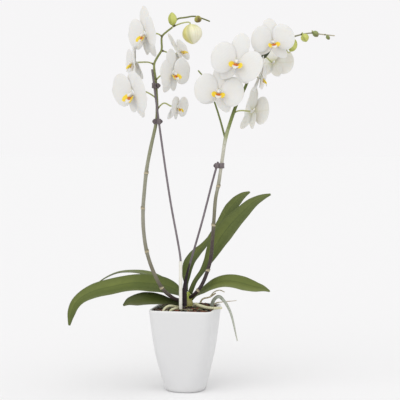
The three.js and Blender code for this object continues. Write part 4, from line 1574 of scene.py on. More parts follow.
@dataclass
class Leaf(Part):
    """A strap leaf along the stops of its midrib: x, y, z, width and roll."""

    name: str
    stops: Sequence[Sequence[float]]
    finish: Finish = Finishes.LEAF
    slot: str = "leaf"
    thickness: float = 2.0
    fold: float = 14.0
    along: int = 44
    across: int = 18

    def surface(self) -> Surface:
        """Draws the middle of the blade, grooved along its midrib.

        Returns:
            The surface.
        """
        path = Route(self.stops)
        rows = self.stops
        phase = sum(map(ord, self.name))

        def spot(u: float, v: float) -> Vector:
            """Finds a point of the middle.

            Args:
                u: 0 at the foot, 1 at the tip.
                v: -1 to 1 across.

            Returns:
                The point.
            """
            heading = path.heading(u)
            place = u * (len(rows) - 1)
            level = heading.cross(Vector((0, 0, 1))).normalized()
            side = spin(between(rows, place, 4), heading, 3) @ level
            up = side.cross(heading)
            half = between(rows, place, 3) / 2
            fold = tan(radians(self.fold * (1 - 0.6 * u)))
            groove = sqrt(v * v + 0.012) - 0.11
            rise = fold * groove * half - 0.05 * half * v**4
            rise += 0.35 * sin(9 * u + phase) * v**3
            return path.at(u) - side * (half * v) + up * rise

        return spot

    def build(self) -> None:
        """Builds the leaf."""

        def thickness(u: float, v: float) -> float:
            """Returns the thickness at u and v, thinner towards the margin."""
            keel = 0.5 * exp(-((v / 0.12) ** 2))
            return self.thickness * (0.95 - 0.5 * v * v + keel * (1 - u))

        shape = blade(self.surface(), self.along, self.across, thickness)
        fit(shape, f"{self.name}_blade", self.finish, self.slot, self.name, levels=1)


LEAVES: dict[str, list[list[float]]] = {
    "leaf_front_left": [
        [-1, -1, 167, 20, -30], [-17, -8, 181, 32, -38], [-39, -12, 190, 40, -43],
        [-64, -17, 194, 42, -43], [-86, -20, 196, 39, -43], [-110, -23, 194, 37, -43],
        [-135, -26, 189, 38, -43], [-161, -28, 183, 35, -44], [-184, -29, 172, 27, -50],
        [-197, -29, 159, 22, -60], [-204, -29, 142, 16, -70], [-208, -29, 119, 3, -74],
    ],
    "leaf_back_left": [
        [0, 6, 171, 18, -25], [-29, 14, 187, 26, -20], [-51, 20, 198, 32, -12],
        [-73, 26, 207, 36, -5], [-99, 30, 210, 36, 0], [-125, 33, 208, 32, 1],
        [-147, 34, 199, 24, 0], [-169, 34, 184, 5, -2],
    ],
    "leaf_low_left": [
        [-1, 1, 154, 9, -35], [-24, -10, 160, 16, -40], [-40, -18, 165, 23, -45],
        [-56, -24, 168, 28, -45], [-72, -30, 169, 29, -45], [-88, -35, 167, 26, -45],
        [-100, -38, 165, 18, -45], [-111, -40, 158, 3, -45],
    ],
    "leaf_right": [
        [8, 3, 160, 12, 30], [19, 0, 172, 16, 35], [34, -8, 182, 22, 42],
        [51, -15, 193, 27, 45], [69, -20, 199, 29, 45], [87, -23, 199, 31, 45],
        [105, -25, 195, 32, 45], [124, -26, 190, 26, 42], [139, -25, 187, 16, 40],
        [152, -24, 181, 3, 40],
    ],
    "leaf_tall_right": [
        [7, 1, 172, 10, 45], [17, 5, 196, 9, 55], [30, 8, 214, 10, 58], [41, 11, 233, 17, 60],
        [52, 15, 255, 29, 60], [67, 19, 279, 36, 60], [84, 24, 300, 34, 60],
        [103, 28, 319, 28, 60], [121, 32, 336, 22, 60], [140, 34, 347, 13, 60],
        [157, 36, 353, 3, 60],
    ],
    "leaf_tall_back": [
        [1, 8, 175, 10, 40], [0, 14, 201, 17, 50], [5, 20, 226, 21, 50], [17, 26, 243, 21, 42],
        [32, 33, 257, 18, 24], [44, 39, 271, 16, 10], [57, 46, 290, 17, 10],
        [71, 52, 309, 22, 30], [83, 57, 326, 24, 52], [95, 60, 340, 20, 60],
        [107, 62, 350, 13, 60], [120, 64, 356, 3, 60],
    ],
}


# ---- Supports ----


@dataclass
class Rod(Part):
    """A thin support rod."""

    name: str
    stops: Sequence[Sequence[float]]
    finish: Finish
    radius: float = ROD_RADIUS

    def build(self) -> None:
        """Builds the rod."""
        shape = tube(Route(self.stops), lambda share: self.radius, 16, 8.0)
        fit(shape, f"{self.name}_shaft", self.finish, "rod", self.name)


@dataclass
class Sleeve(Part):
    """The white sleeve that the left rod stands in."""

    x: float = -8.5
    y: float = -34.0
    radius: float = 3.0
    bore: float = 2.2
    foot: float = 60.0
    top: float = 237.0
    rod_foot: float = 225.7
    rim: float = 0.5

    def build(self) -> None:
        """Builds the sleeve with its open mouth."""
        rim = self.rim
        outline = [
            (0.05, self.foot), (self.radius - rim, self.foot), (self.radius, self.foot + rim),
            (self.radius, 100), (self.radius, 160), (self.radius, self.top - rim),
            (self.radius - rim / 2, self.top), (self.bore, self.top - 0.1),
            (self.bore, self.top - 2), (self.bore, self.rod_foot), (0.05, self.rod_foot),
        ]
        shape = Shape().add(turned(outline), Matrix.Translation((self.x, self.y, 0)))
        fit(shape, "rod_sleeve_tube", Finishes.SLEEVE, "sleeve", "rod_sleeve")


ROD_STOPS: dict[str, list[list[float]]] = {
    "rod_left": [[-8.5, -34, 226], [-8.5, -34, 240], [-27, -25, 345], [-43, -15, 452],
                 [-59.5, -5, 577]],
    "rod_right": [[-2, -24, 60], [-2, -24, 160], [-1, -24, 196], [7, -22, 227],
                  [30, -16, 307], [49, -9, 380], [58, -8, 412]],
}


@dataclass
class Clip(Part):
    """A clip that ties a spike to its rod: two collars, a bridge and round grips."""

    name: str
    height: float
    spike: "SpikePlan"
    rod: str
    lobes: tuple[float, ...]
    tall: float = 9.5
    wall: float = 2.1
    lobe: float = 3.4
    lobe_depth: float = 2.6
    bar_radius: float = 1.3
    rim: float = 0.5

    def collar(self, centre: Vector, hole: float) -> Shape:
        """Makes a rounded collar round a stem or a rod.

        Args:
            centre: The middle of the stem or rod.
            hole: Its radius.

        Returns:
            The collar.
        """
        inner, outer, half, rim = hole + GAP, hole + GAP + self.wall, self.tall / 2, self.rim
        outline = [
            (inner, half - rim), (inner + rim, half), (outer - rim, half), (outer, half - rim),
            (outer - 0.25, 0), (outer, rim - half), (outer - rim, -half), (inner + rim, -half),
            (inner, rim - half),
        ]
        move = Matrix.Translation((centre.x, centre.y, self.height))
        return Shape().add(turned(outline, 28), move)

    def grip(self, centre: Vector) -> Shape:
        """Makes a round grip with a dimple, facing the front.

        Args:
            centre: Its middle.

        Returns:
            The grip.
        """
        half, r = self.lobe_depth / 2, self.lobe
        outline = [
            (0.05, half * 0.5), (r * 0.45, half * 0.6), (r * 0.6, half), (r * 0.88, half),
            (r, half * 0.6), (r, -half * 0.6), (r * 0.88, -half), (0.05, -half),
        ]
        turn = Matrix.Translation(centre) @ spin(90, "X")
        return Shape().add(turned(outline, 20), turn)

    def bar(self, start: Vector, end: Vector) -> Shape:
        """Returns the short bar between two points of the clip."""
        line = Route([start, start.lerp(end, 0.5), end])
        return tube(line, lambda share: self.bar_radius, 10, 1.5)

    def build(self) -> None:
        """Builds the clip."""
        stem = self.spike.at_height(self.height)
        spots = map(Route(ROD_STOPS[self.rod]).spot, (k / SAMPLES for k in range(SAMPLES + 1)))
        post = min(spots, key=lambda p: abs(p.z - self.height))
        shape = self.collar(stem, self.spike.tied).add(self.collar(post, ROD_RADIUS))
        middle = Vector(((stem.x + post.x) / 2, min(stem.y, post.y), self.height))
        for offset in self.lobes:
            spot = middle + Vector((offset, 0, 0))
            near = stem if abs(stem.x - spot.x) < abs(post.x - spot.x) else post
            reach = (self.spike.tied if near is stem else ROD_RADIUS) + GAP + self.wall * 0.6
            away = Vector((spot.x - near.x, spot.y - near.y, 0)).normalized() * reach
            foot = Vector((near.x, near.y, self.height)) + away
            shape.add(self.grip(spot)).add(self.bar(foot, spot))
        fit(shape, f"{self.name}_body", Finishes.CLIP, "clip", self.name)


# ---- Flower spikes ----


@dataclass(frozen=True)
class SpikePlan:
    """The route of a spike, its foot and tip radii, its bracts and its side branch."""

    name: str
    radii: Pairs  # share of the length, radius
    tied: float  # the room that a clip leaves for the stem
    bracts: tuple[float, ...]
    stops: Triples
    side: Triples = ()
    knots: Triples = ()  # share, added radius, reach as a share

    def at_height(self, height: float) -> Vector:
        """Returns the point where the spike passes a height."""
        spots = map(Route(self.stops).at, (k / SAMPLES for k in range(SAMPLES + 1)))
        return min(spots, key=lambda p: abs(p.z - height))

    def foot_of(self, target: Vector) -> Vector:
        """Finds the point of the spike nearest to a spot.

        Args:
            target: The spot.

        Returns:
            The point.
        """
        routes = (Route(stops) for stops in (self.stops, self.side) if stops)
        spots = (route.spot(route.share_near(target)) for route in routes)
        return min(spots, key=lambda p: (p - target).length)


LEFT_SPIKE = SpikePlan(
    "spike_left", ((0, 3.3), (0.5, 3.3), (0.62, 2.7), (0.72, 2.2), (1, 1.2)), 2.9,
    (0.103, 0.214, 0.336, 0.437),
    (
        (-1, -4, 161), (-20, -26, 169), (-40, -40, 188), (-55, -44, 216), (-68, -42, 254),
        (-74, -38, 293), (-75, -32, 330), (-73, -27, 360), (-69, -20, 400), (-62, -14, 438),
        (-52, -7, 486), (-51, -2, 508), (-53, 1, 555), (-56, 2, 588), (-50, 3, 601),
        (-43, 4, 613), (-42, 3, 637), (-33, 2, 646), (-22, 2, 655), (-15, 4, 668),
        (0, 4, 671), (16, 3, 673), (30, 2, 669), (43, 1, 664),
    ),
)
RIGHT_SPIKE = SpikePlan(
    "spike_right", ((0, 3.3), (0.4, 3.1), (0.44, 3.1), (0.5, 3.4), (0.6, 3.0), (0.75, 1.9), (1, 1)),
    3.2,
    (0.039, 0.107, 0.24, 0.356),
    (
        (8, -5, 168), (17, -14, 176), (26, -18, 187), (34, -21, 203), (40, -22, 220),
        (45, -22, 239), (48, -21, 270), (51, -18, 311), (54, -14, 348), (59, -10, 372),
        (65, -6, 411), (72, -7, 456), (79, -8, 480), (92, -7, 517), (103, -3, 538),
        (111, 0, 556), (116, 3, 574), (125, 5, 589), (138, 6, 600), (149, 6, 611),
        (157, 6, 622), (170, 5, 629), (184, 4, 634), (210, 2, 641), (225, 1, 643),
        (241, 0, 641), (266.2, -2, 638),
    ),
    (
        (71, -7, 455), (63, -5, 485), (56, -3, 508), (49.5, -1, 527), (43, 1, 547),
        (36, 2, 561), (30, 2, 568), (23, 1, 576),
    ),
    ((0.776, 2.7, 0.017),),
)


def bract(route: Route, share: float, radius: float, length: float, start: float) -> Shape:
    """Makes a small scale that clasps a stem.

    Args:
        route: The stem's line.
        share: Where on the stem its foot lies.
        radius: The stem's radius there.
        length: Its length.
        start: The angle round the stem at which it is centred.

    Returns:
        The scale.
    """
    t = min(max(route.along(share), 0.0), 1.0)
    heading = route.heading(t)
    side = compass(start)
    side = (side - heading * side.dot(heading)).normalized()
    other = heading.cross(side)
    centre = route.at(t)

    def spot(u: float, v: float) -> Vector:
        """Finds a point of the middle.

        Args:
            u: 0 at the foot, 1 at the tip.
            v: -1 to 1 across.

        Returns:
            The point.
        """
        angle = v * radians(125) * (1 - 0.8 * u**1.3)
        reach = radius + 0.3 + 0.25 * u
        out = side * cos(angle) + other * sin(angle)
        return centre + heading * (length * (u - 0.25)) + out * reach

    return blade(spot, 8, 10, lambda u, v: 0.5)


@dataclass
class Spike(Part):
    """A flower spike: its stem with swollen joints, side branch and bracts."""

    plan: SpikePlan
    finish: Finish
    swell: float = 0.1  # of its joints, as a share of its radius
    joint: float = 0.006  # reach of a joint, as a share of its length
    bract_length: float = 5.5
    bract_turn: float = 0.7  # of the bracts to either side by turns, radians

    def radius(self, share: float) -> float:
        """Finds the stem's radius at a share of its length, swollen at its joints.

        Args:
            share: The share.

        Returns:
            The radius.
        """

        def bulge(at: float, reach: float) -> float:
            """Returns how much of a swelling is felt here."""
            return exp(-(((share - at) / reach) ** 2))

        plain = reading(self.plan.radii, share)
        swell = sum(bulge(at, self.joint) for at in self.plan.bracts)
        knots = sum(more * bulge(at, reach) for at, more, reach in self.plan.knots)
        return plain * (1 + self.swell * swell) * (1 + 0.02 * sin(90 * share)) + knots

    def build(self) -> None:
        """Builds the stem, the branch and the bracts."""
        name, route = self.plan.name, Route(self.plan.stops)
        shape = tube(route, self.radius, 16, 3.5)
        if self.plan.side:
            branch = tube(Route(self.plan.side), lambda s: lerp(1.9, 1.3, s), 12, 4.0)
            fit(branch, f"{name}_branch", Finishes.STEM_SIDE, "spike", name)
        fit(shape, f"{name}_stem", self.finish, "spike", name)
        scales = Shape()
        for k, share in enumerate(self.plan.bracts):
            facing = -pi / 2 + (self.bract_turn if k % 2 else -self.bract_turn)
            scales.add(bract(route, share, self.radius(share), self.bract_length, facing))
        fit(scales, f"{name}_bracts", Finishes.BRACT, "spike", name)


@dataclass
class Stalks(Part):
    """The stalks of all blooms and buds of a spike, each with a bract at its foot."""

    plan: SpikePlan
    routes: list[tuple[Route, float]]
    stout: float = 1.35  # a stalk above this radius carries a bloom and swells more
    bract_length: float = 5.0

    def build(self) -> None:
        """Builds the stalks and their bracts."""
        shape, scales = Shape(), Shape()
        for route, radius in self.routes:
            swell = 0.35 if radius > self.stout else 0.15
            shape.add(tube(route, lambda s: radius * (0.95 + swell * max(s - 0.45, 0)), 12, 2.5))
            scales.add(bract(route, 0.05, radius, self.bract_length, -pi / 2))
        fit(shape, f"{self.plan.name}_stalks", Finishes.STALK, "spike", self.plan.name)
        fit(scales, f"{self.plan.name}_scales", Finishes.BRACT_DARK, "spike", self.plan.name)


# ---- Blooms and buds ----


class Tepal(NamedTuple):
    """The outline of a petal or sepal."""

    length: float
    width: float
    skew: float
    sweep: float
    curl: float
    wave: float


@dataclass
class Bloom(Part):
    """One open flower, in its own frame: x right, y up and z out of its face."""

    name: str
    spike: SpikePlan
    foot: Triple
    at: Triple
    yaw: float
    nod: float = 0.0
    roll: float = 0.0
    size: float = 1.0
    petal: Tepal = Tepal(46, 54, 0.0, 14, 3, 1.2)
    dorsal: Tepal = Tepal(49, 32, 0.05, 6, 4, 0.6)
    lateral: Tepal = Tepal(41, 26, -0.22, -4, 5, 0.6)
    petals: Pair = (5, 175)
    sepals: Pair = (-54, -126)
    dorsal_share: float = 1.0
    sepal_depth: float = -2.4
    thickness: float = 0.8
    start: float = 3.6
    foot_width: float = 4.8
    heart_back: float = -6.0
    straight: float = 13.0
    rise: float = 1.5
    stalk_radius: float = 1.4
    knob: Triples = ((0, 0, -5.6), (0, 0, -3), (0, 0, 0.6))
    column: Triples = (
        (0, 0.6, 0), (0, 0.3, 3.4), (0, -0.4, 7.2), (0, -1.6, 10.2),
    )
    # radius at each share of the column: narrow at its waist and full at its cap
    column_swell: Pairs = (
        (0.0, 2.9), (0.35, 2.3), (0.62, 2.6), (0.85, 3.0), (1.0, 2.2),
    )
    tongue_length: float = 22
    tongue_half: float = 6
    tongue_dip: float = 38  # degrees
    # how high each ring of the callus lies and how full it is
    hump: Pairs = (
        (0, 0.45), (0.15, 0.8), (0.4, 1), (0.7, 1), (0.9, 0.75), (1, 0.4),
    )

    def pose(self) -> Matrix:
        """Finds the place and turn of the bloom.

        Returns:
            The move from the bloom's frame.
        """
        return (
            Matrix.Translation(self.at)
            @ spin(self.yaw, "Z")
            @ spin(90 + self.nod, "X")
            @ spin(self.roll, "Z")
        )

    def stalk(self) -> tuple[Route, float]:
        """Finds the route of the flower stalk and its radius.

        Returns:
            The route and the radius.
        """
        place, back = self.pose(), self.heart_back * self.size
        end = place @ Vector((0, 0, back - GAP))
        behind = place @ Vector((0, 0, back - self.straight * self.size))
        foot = self.spike.foot_of(Vector(self.foot))
        middle = foot.lerp(behind, 0.5) + Vector((0, 0, self.rise))
        return Route([foot, middle, behind, end]), self.stalk_radius

    def tepal(self, form: Tepal, direction: float, depth: float, phase: float) -> Shape:
        """Makes one petal or sepal.

        Args:
            form: Its outline.
            direction: Its angle in the bloom's plane.
            depth: How far before or behind the petals it starts.
            phase: Where its ripples begin.

        Returns:
            The petal in the bloom's frame.
        """
        turn = spin(direction, "Z", 3) @ spin(-form.sweep, "Y", 3)

        def spot(u: float, v: float) -> Vector:
            """Finds a point of the middle.

            Args:
                u: 0 at the foot, 1 at the tip.
                v: -1 to 1 across.

            Returns:
                The point.
            """
            theta = pi * 0.985 * u
            reach = (1 - cos(theta)) / 2
            half = form.width / 2 * sin(theta) * (1 + form.skew * (2 * reach - 1))
            edge = form.wave * v * v * u
            ripple = edge * sin(7 * reach + 2 * v + radians(direction) * 57.3)
            ripple += 0.4 * edge * sin(19 * reach + 5 * v + phase)
            crown = 0.9 * (1 - v * v) * sin(pi * reach)
            claw = max(0.0, 1 - u / 0.25)
            side = max(half, self.foot_width / 2 * claw)
            along = self.start + (form.length - self.start) * reach
            out = ripple + crown - form.curl * reach * reach - 0.05 * side * v**4
            return turn @ (Vector((along, side * v, out)) * self.size) + Vector((0, 0, depth))

        def thickness(u: float, v: float) -> float:
            """Returns the thickness, thicker at the foot and along the midrib."""
            return self.thickness * (1.15 - 0.45 * u - 0.25 * v * v)

        return blade(spot, 22, 16, thickness)

    def tepals(self) -> Shape:
        """Makes the two petals and three sepals.

        Returns:
            The tepals.
        """
        phase = sum(map(ord, self.name)) % 7
        shape = Shape()
        for k, direction in enumerate(self.petals):
            shape.add(self.tepal(self.petal, direction, 0.0, phase + k))
        depth = self.sepal_depth
        dorsal = self.dorsal._replace(length=self.dorsal.length * self.dorsal_share)
        shape.add(self.tepal(dorsal, 90, depth, phase + 2))
        for k, direction in enumerate(self.sepals):
            shape.add(self.tepal(self.lateral, direction, depth, phase + 3 + k))
        return shape

    def heart(self) -> Shape:
        """Makes the knob that the tepals grow from, with the column in front of it.

        Returns:
            Both as one shape.
        """
        s = self.size
        knob, column = (Route([Vector(p) * s for p in line]) for line in (self.knob, self.column))
        shape = tube(knob, lambda t: s * lerp(2.2, 4.1, min(1, 1.6 * t)), 14, 0.9)
        swell = self.column_swell
        return shape.add(tube(column, lambda t: s * reading(swell, t, soft=True), 14, 0.8))

    def tongue(self) -> Shape:
        """Makes the lip's white middle lobe with its two tendrils.

        Returns:
            The tongue.
        """
        s, dip = self.size, radians(self.tongue_dip)

        def spot(u: float, v: float) -> Vector:
            """Finds a point of the middle.

            Args:
                u: 0 at the foot, 1 at the tip.
                v: -1 to 1 across.

            Returns:
                The point.
            """
            wide = 0.3 + 0.72 * sin(pi * min(u * 1.08, 1) ** 1.5) - 0.24 * u**4
            half, reach = self.tongue_half * wide, self.tongue_length * u
            keel = 1.2 * exp(-((v / 0.25) ** 2)) * (1 - u)
            up = 2 * v * v * (0.3 + u) - 2.2 - reach * sin(dip) + keel
            out = 2 * sin(pi * u) - 0.6 + reach * cos(dip)
            return Vector((half * v, up, out)) * s

        shape = blade(spot, 14, 10, lambda u, v: 1.0 * s)
        end = spot(0.97, 0)
        for side in (-1, 1):
            curl = [
                end, end + Vector((side * 1.8, -1.4, 0.2)) * s,
                end + Vector((side * 3.4, -1.0, -0.6)) * s,
                end + Vector((side * 3.6, 0.8, -1.2)) * s,
            ]
            shape.add(tube(Route(curl), lambda t: s * lerp(0.55, 0.22, t), 6, 1.0))
        return shape

    def lobes(self) -> Shape:
        """Makes the two yellow side lobes, cupped up beside the column.

        Returns:
            The lobes.
        """
        shape = Shape()
        for side in (-1, 1):

            def spot(u: float, v: float, side: int = side) -> Vector:
                """Finds a point of the middle.

                Args:
                    u: 0 at the foot, 1 at the tip.
                    v: -1 to 1 across.
                    side: 1 for the right lobe, -1 for the left one.

                Returns:
                    The point.
                """
                half = 6.9 * (0.55 + 0.45 * sin(pi * 0.86 * u)) * (1 - 0.6 * u**6)
                reach = 11.2 * u
                cup = 1.1 * sin(pi * u) * (1 - v * v)
                return Vector((
                    side * (2.4 + reach * 0.86 + 0.4 * cup),
                    reach * 0.08 + half * v * 0.75 - 7.0 - cup,
                    8.6 + reach * 0.4 - half * v * 0.65,
                )) * self.size

            shape.add(blade(spot, 12, 8, lambda u, v: 1.1 * self.size))
        return shape

    def callus(self) -> Shape:
        """Makes the two-humped bump between the side lobes.

        Returns:
            The bump.
        """

        def spot(share: float, grow: float, angle: float) -> Vector:
            """Finds a point of the bump.

            Args:
                share: How high it lies.
                grow: How full the bump is there.
                angle: Its angle.

            Returns:
                The point.
            """
            x = 3.9 * grow * cos(angle) * (1 + 0.22 * cos(2 * angle) * share)
            y = 2.5 * grow * sin(angle) * (1.25 - 0.35 * cos(angle) ** 2)
            return Vector((x, y - 6.8, 6.1 + 5 * share)) * self.size

        return ringed(self.hump, 20, spot)

    def build(self) -> None:
        """Builds the pieces of the bloom."""
        place, lip = self.pose(), f"{self.name}_lip"
        pieces = (
            ("tepals", self.tepals(), Finishes.PETAL, "tepal", self.name, 0),
            ("column", self.heart(), Finishes.COLUMN, "tepal", self.name, 0),
            ("tongue", self.tongue(), Finishes.TONGUE, "tepal", self.name, 0),
            ("side_lobes", self.lobes(), Finishes.LIP, "lip", lip, 0),
            ("callus", self.callus(), Finishes.CALLUS, "lip", lip, 1),
        )
        for ending, shape, finish, slot, node, levels in pieces:
            moved = Shape().add(shape, place)
            fit(moved, f"{self.name}_{ending}", finish, slot, node, levels=levels)


@dataclass
class Bud(Part):
    """A closed bud between its base and its tip, with the swell of its three sepals."""

    name: str
    spike: SpikePlan
    finish: Finish
    slot: str
    width: float
    lobes: float
    base: Triple
    tip: Triple
    route: Triples
    spin: float = 0.0  # turn of its seams, radians
    # share of the bud's width at each share of its length
    profile: Pairs = (
        (0.14, 0), (0.4, 0.03), (0.68, 0.12), (0.86, 0.23), (0.97, 0.36), (0.99, 0.48),
        (0.95, 0.6), (0.82, 0.73), (0.6, 0.85), (0.34, 0.94), (0.12, 1),
    )

    def stalk(self) -> tuple[Route, float]:
        """Finds the route of the bud's stalk and its radius.

        Returns:
            The route and the radius.
        """
        start, end = Vector(self.base), Vector(self.tip)
        foot = self.spike.foot_of(Vector(self.route[0]))
        back = (start - end).normalized()
        line = [foot, *map(Vector, self.route[1:]), start + back * 3, start + back * GAP]
        return Route(line), lerp(0.7, 1.3, self.width / 35)

    def build(self) -> None:
        """Builds the bud."""
        start, end = Vector(self.base), Vector(self.tip)
        axis = end - start
        turn = Vector((0, 0, 1)).rotation_difference(axis)

        def spot(share: float, rise: float, angle: float) -> Vector:
            """Finds a point of the bud.

            Args:
                share: Its share of the bud's width.
                rise: Its share of the bud's length.
                angle: Its angle.

            Returns:
                The point.
            """
            seam = -0.05 * abs(sin(1.5 * angle)) ** 10
            radius = self.width / 2 * share * (1 + self.lobes * cos(3 * angle) + seam)
            at = angle + self.spin
            place = Vector((cos(at) * radius, sin(at) * radius, rise * axis.length))
            return turn @ place + start

        shape = ringed(self.profile, 36, spot)
        fit(shape, f"{self.name}_sepals", self.finish, self.slot, self.name, levels=1)


# for each spike: foot of the stalk, place, yaw, nod, roll, size, and what else differs
BLOOMS: dict[SpikePlan, tuple[tuple, ...]] = {
    LEFT_SPIKE: (
        ((-42, 3, 637), (-70, -20, 639), -56, 7, 0, 1.02, {"sepals": (-80, -120)}),
        ((-56, 2, 588), (-93, 24, 592), -76, 4, 0, 0.92, {}),
        ((-53, 0, 527), (-92, -18, 535), -52, 12, -10, 1.14, {
            "sepals": (-80, -122), "dorsal_share": 0.7,
        }),
        ((-44, 4, 613), (-12, 21, 611), 70, -26, 10, 0.78, {}),
        ((-53, 1, 560), (-23, -24, 570), 50, 4, 8, 0.88, {"sepals": (-66, -112)}),
        ((-51, -2, 507), (-15, 0, 511), 62, 8, 0, 0.68, {"dorsal_share": 0.55, "rise": 8}),
    ),
    RIGHT_SPIKE: (
        ((109, 0, 551), (91, -50, 589), -9, 0, -12, 1.02, {"petals": (-9, 175)}),
        ((52, -1, 526), (60, -30, 538), -5, 0, -8, 0.98, {"sepals": (-60, -146)}),
        ((150, 6, 612), (154, -28, 624), 6, -4, 10, 0.88, {
            "petals": (17, 155), "sepals": (-54, -160),
        }),
        ((140, 6, 602), (159, 32.5, 592), 152, 14, 0, 0.84, {}),
        ((111, 0, 556), (134, -9.5, 563), 82, 10, 0, 0.8, {}),
        ((86, -8, 500), (122, 18.5, 503), 118, 6, 0, 0.95, {}),
    ),
}


def blooms() -> list[Bloom]:
    """Lists the twelve blooms.

    Returns:
        The blooms, spike by spike from its lower end.
    """
    return [
        Bloom(f"bloom_{spike.name[6:]}_{k}", spike, *row[:-1], **row[-1])
        for spike, rows in BLOOMS.items()
        for k, row in enumerate(rows, 1)
    ]


def buds() -> list[Bud]:
    """Lists the seven buds.

    Returns:
        The buds.
    """
    left, right = LEFT_SPIKE, RIGHT_SPIKE
    cream = (Finishes.BUD_CREAM, "bud_cream")
    green, small = (Finishes.BUD_GREEN, "bud_green"), (Finishes.BUD_SMALL, "bud_small")
    return [
        Bud("bud_left_1", left, *cream, 36.5, 0.06, (8.5, -4, 658), (14.5, -6, 623),
            ((-22, 2, 655), (-8, 0, 660), (4, -3, 662)), spin=0.21),
        Bud("bud_left_2", left, *green, 16.5, 0.04, (-23, -7, 656), (-24, -7, 679),
            ((-22, 2, 655), (-23, -5, 652))),
        Bud("bud_left_3", left, Finishes.BUD_BROWN, "bud_small", 13.5, 0.03, (21, -3, 670),
            (24, -12, 663), ((18, 3, 673),)),
        Bud("bud_right_1", right, *green, 16, 0.05, (188, 6, 611), (197, 6, 632),
            ((184, 4, 634), (181, 10, 620), (184, 8, 609))),
        Bud("bud_right_2", right, *green, 15, 0.04, (210, -3, 641), (216, -6, 627),
            ((208, 2, 640),)),
        Bud("bud_right_3", right, *small, 11, 0.03, (228, -5, 645), (236, -10, 636),
            ((227, 0, 642),)),
        Bud("bud_right_4", right, *small, 7, 0.02, (252, -3, 638), (257, -5, 631),
            ((250, -1, 640),)),
    ]


# ---- Roots ----


@dataclass
class Root(Part):
    """A root of one or more strands: each with its foot and tip radius and its stops."""

    name: str
    finish: Finish
    slot: str
    strands: tuple[tuple[float, float, Triples], ...]
    bumps: float = 0.1

    def build(self) -> None:
        """Builds the knobbly strands."""
        shape = Shape()
        for k, (foot, tip, stops) in enumerate(self.strands):
            route = Route(stops)

            def radius(share: float, foot: float = foot, tip: float = tip, k: int = k) -> float:
                """Returns the radius at a share of the length."""
                knob = noise.noise(Vector((share * route.length * 0.12, 7.0 * k, 1.0)))
                return lerp(foot, tip, share) * (1 + self.bumps * knob)

            shape.add(tube(route, radius, 14, 2.0))
        fit(shape, f"{self.name}_skin", self.finish, self.slot, self.name)


def roots() -> list[Root]:
    """Lists the roots that show above the bark.

    Returns:
        The roots.
    """
    return [
        Root("root_over_bark", Finishes.ROOT, "root", (
            (3.5, 2.2, ((13, -5, 148), (18, -17, 157), (24, -28, 157), (38, -34, 154),
                        (52, -38, 153.5), (64, -38, 154))),
        )),
        Root("root_over_rim", Finishes.ROOT_AERIAL, "root_aerial", (
            (3.9, 1.1, ((45, -6, 138), (47, -8, 152), (52, -12, 166), (60, -15, 171),
                        (68, -18, 165), (75, -20, 155), (81, -20, 142), (86, -20, 124),
                        (90, -20, 105), (93, -20, 92))),
        )),
        Root("roots_left", Finishes.ROOT, "root", (
            (2.6, 1.9, ((0, -8, 146), (-16, -26, 154), (-31, -38, 157), (-39, -43, 150),
                        (-38, -42, 137))),
            (2.2, 2.4, ((-14, -30, 152), (-19, -40, 153), (-26, -43, 150), (-30, -43, 136))),
        )),
        Root("roots_fine", Finishes.ROOT_DRY, "root_dry", (
            (1.8, 1.2, ((24, 4, 146), (30, -2, 164), (44, -6, 169), (54, -2, 175))),
            (1.2, 0.8, ((44, -6, 169), (52, -4, 178), (62, -4, 181), (70, -6, 178))),
        )),
        Root("root_dry_tip", Finishes.ROOT_DRY, "root_dry", (
            (1.3, 0.5, ((40, 6, 142), (54, 4, 156), (66, 0, 159), (92, -4, 162))),
        )),
    ]


# ---- Studio ----


